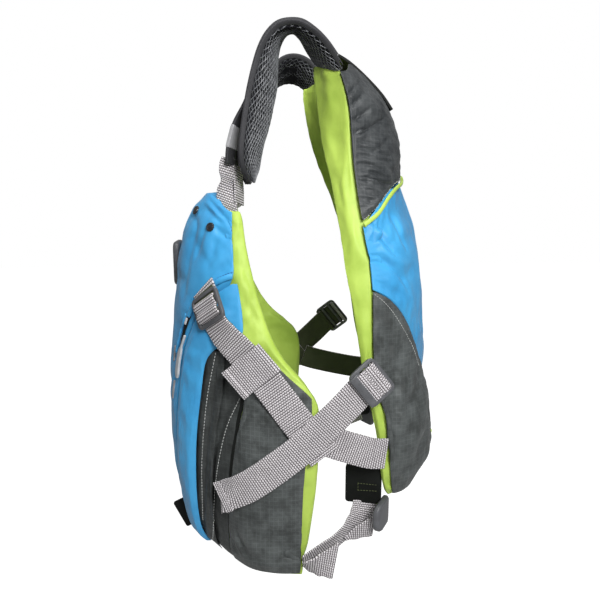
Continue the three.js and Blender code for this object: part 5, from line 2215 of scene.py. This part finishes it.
    def build_waist_strap(self) -> None:
        """Builds the waist webbing: a turned run from the sleeve, its fan at the front and its loose tail."""
        node = f"waist_strap_{self.side.tag}"
        parts = (("run", WAIST_RUN, (node,)), ("fan", WAIST_FAN, ()), ("tail", WAIST_TAIL, ()))
        for part, rows, replaces in parts:
            stations = shown_stations(rows, self.side, "waist_strap")
            Ribbon(f"{node}_{part}", stations, WEBBING, 1.8, replaces).build()

    def build_sleeve(self) -> None:
        """Builds the dark sleeve that holds the waist webbing."""
        piece = ClothPiece(f"waist_sleeve_{self.side.tag}", BLACK, bevel_mm=1.4, segments=3).build()
        shown = Surface(bpy.data.objects["waist_sleeve_left_cloth"])
        rows = [shown.line(row) for row in SLEEVE_ROWS]
        if self.side is Side.RIGHT:
            rows = flipped(rows)
        StitchRow(f"sleeve_stitches_{self.side.tag}", OLIVE_THREAD).build(rows, Surface(piece))


@dataclass
class FrontClosure:
    """What joins and marks the two front halves."""

    def build(self) -> None:
        """Builds the zip, the chest buckle and the hem tab."""
        ClothPiece("centre_zip", BLACK, "tape", sharp_deg=60.0).build()
        HardPiece("chest_buckle", PLASTIC, 1.0).build()
        ClothPiece("hem_tab", BLACK, bevel_mm=0.8).build()


# Studio


@dataclass
class Studio:
    """Pale floor and soft light.

    Attributes:
        floor_m: Width of the floor.
        floor_drop_m: How far the floor lies below the vest.
        floor_glow: How much the floor shines by itself, so that it stays pale.
        sky: Strength of the light from above.
        ground: Strength of the light from below.
        backdrop: Brightness of the plain surround.
    """

    floor_m: float = 8.0
    floor_drop_m: float = 0.2
    floor_glow: float = 0.86
    sky: float = 0.34
    ground: float = 0.12
    backdrop: float = 1.0

    def build(self) -> None:
        """Adds the floor, the surround and the lamps."""
        bpy.context.scene.view_settings.view_transform = "Standard"
        self.build_floor()
        self.build_sky()
        self.add_lamp("key", (1.1, 0.25, 0.35), 17.5, 0.4)
        self.add_lamp("top", (0.35, -0.1, 1.2), 9.0, 0.5)

    def build_floor(self) -> None:
        """Lays a wide pale floor under the vest."""
        bpy.ops.object.select_all(action="DESELECT")
        low = CAD_BOX[0].z - self.floor_drop_m
        bpy.ops.mesh.primitive_plane_add(size=self.floor_m, location=(0, 0, low))
        floor = bpy.context.object
        floor.name = "studio_floor"
        material, g, shader = new_material("studio_white")
        seen = g.add("ShaderNodeLightPath").outputs["Is Camera Ray"]
        glow = g.math("MULTIPLY", seen, self.floor_glow)
        g.fill(shader, Base_Color=(0.5, 0.5, 0.5), Roughness=0.9)
        g.fill(shader, Emission_Color=(1.0, 1.0, 1.0), Emission_Strength=glow)
        floor.data.materials.append(material)

    def build_sky(self) -> None:
        """Sets a white surround that gives more light from above than from below."""
        world = bpy.data.worlds.new("studio_sky")
        world.use_nodes = True
        g = Graph(world.node_tree)
        back = next(n for n in world.node_tree.nodes if n.type == "BACKGROUND")
        height = g.xyz(g.add("ShaderNodeTexCoord").outputs["Generated"])[2]
        light = g.math("MULTIPLY_ADD", g.ramp(height, -0.3, 0.8), self.sky - self.ground, self.ground)
        seen = g.add("ShaderNodeLightPath").outputs["Is Camera Ray"]
        more = g.math("MULTIPLY", seen, g.math("SUBTRACT", self.backdrop, light))
        g.fill(back, Color=(1.0, 1.0, 1.0), Strength=g.math("ADD", light, more))
        bpy.context.scene.world = world

    def add_lamp(self, name: str, place: tuple[float, float, float], watts: float, size: float) -> None:
        """Adds a large soft lamp that faces the vest.

        Args:
            name: Name of the lamp.
            place: Where it stands.
            watts: Its power.
            size: Its width in metres.
        """
        data = bpy.data.lights.new(name, "AREA")
        data.energy = watts
        data.size = size
        lamp = bpy.data.objects.new(name, data)
        lamp.location = place
        lamp.rotation_euler = (CAMERA.target - Vector(place)).to_track_quat("-Z", "Y").to_euler()
        bpy.context.scene.collection.objects.link(lamp)


def main() -> None:
    """Builds the vest piece by piece, then the studio round it."""
    logging.basicConfig(level=logging.INFO, format="%(name)s: %(message)s")
    CAMERA.make()
    BackPanel().build()
    left = FrontHalf(Side.LEFT)
    for half in (left, FrontHalf(Side.RIGHT, twin=left)):
        half.build()
        ShoulderStrap(half.side).build()
        SideHarness(half.side).build()
    FrontClosure().build()
    Studio().build()


if __name__ == "__main__":
    main()
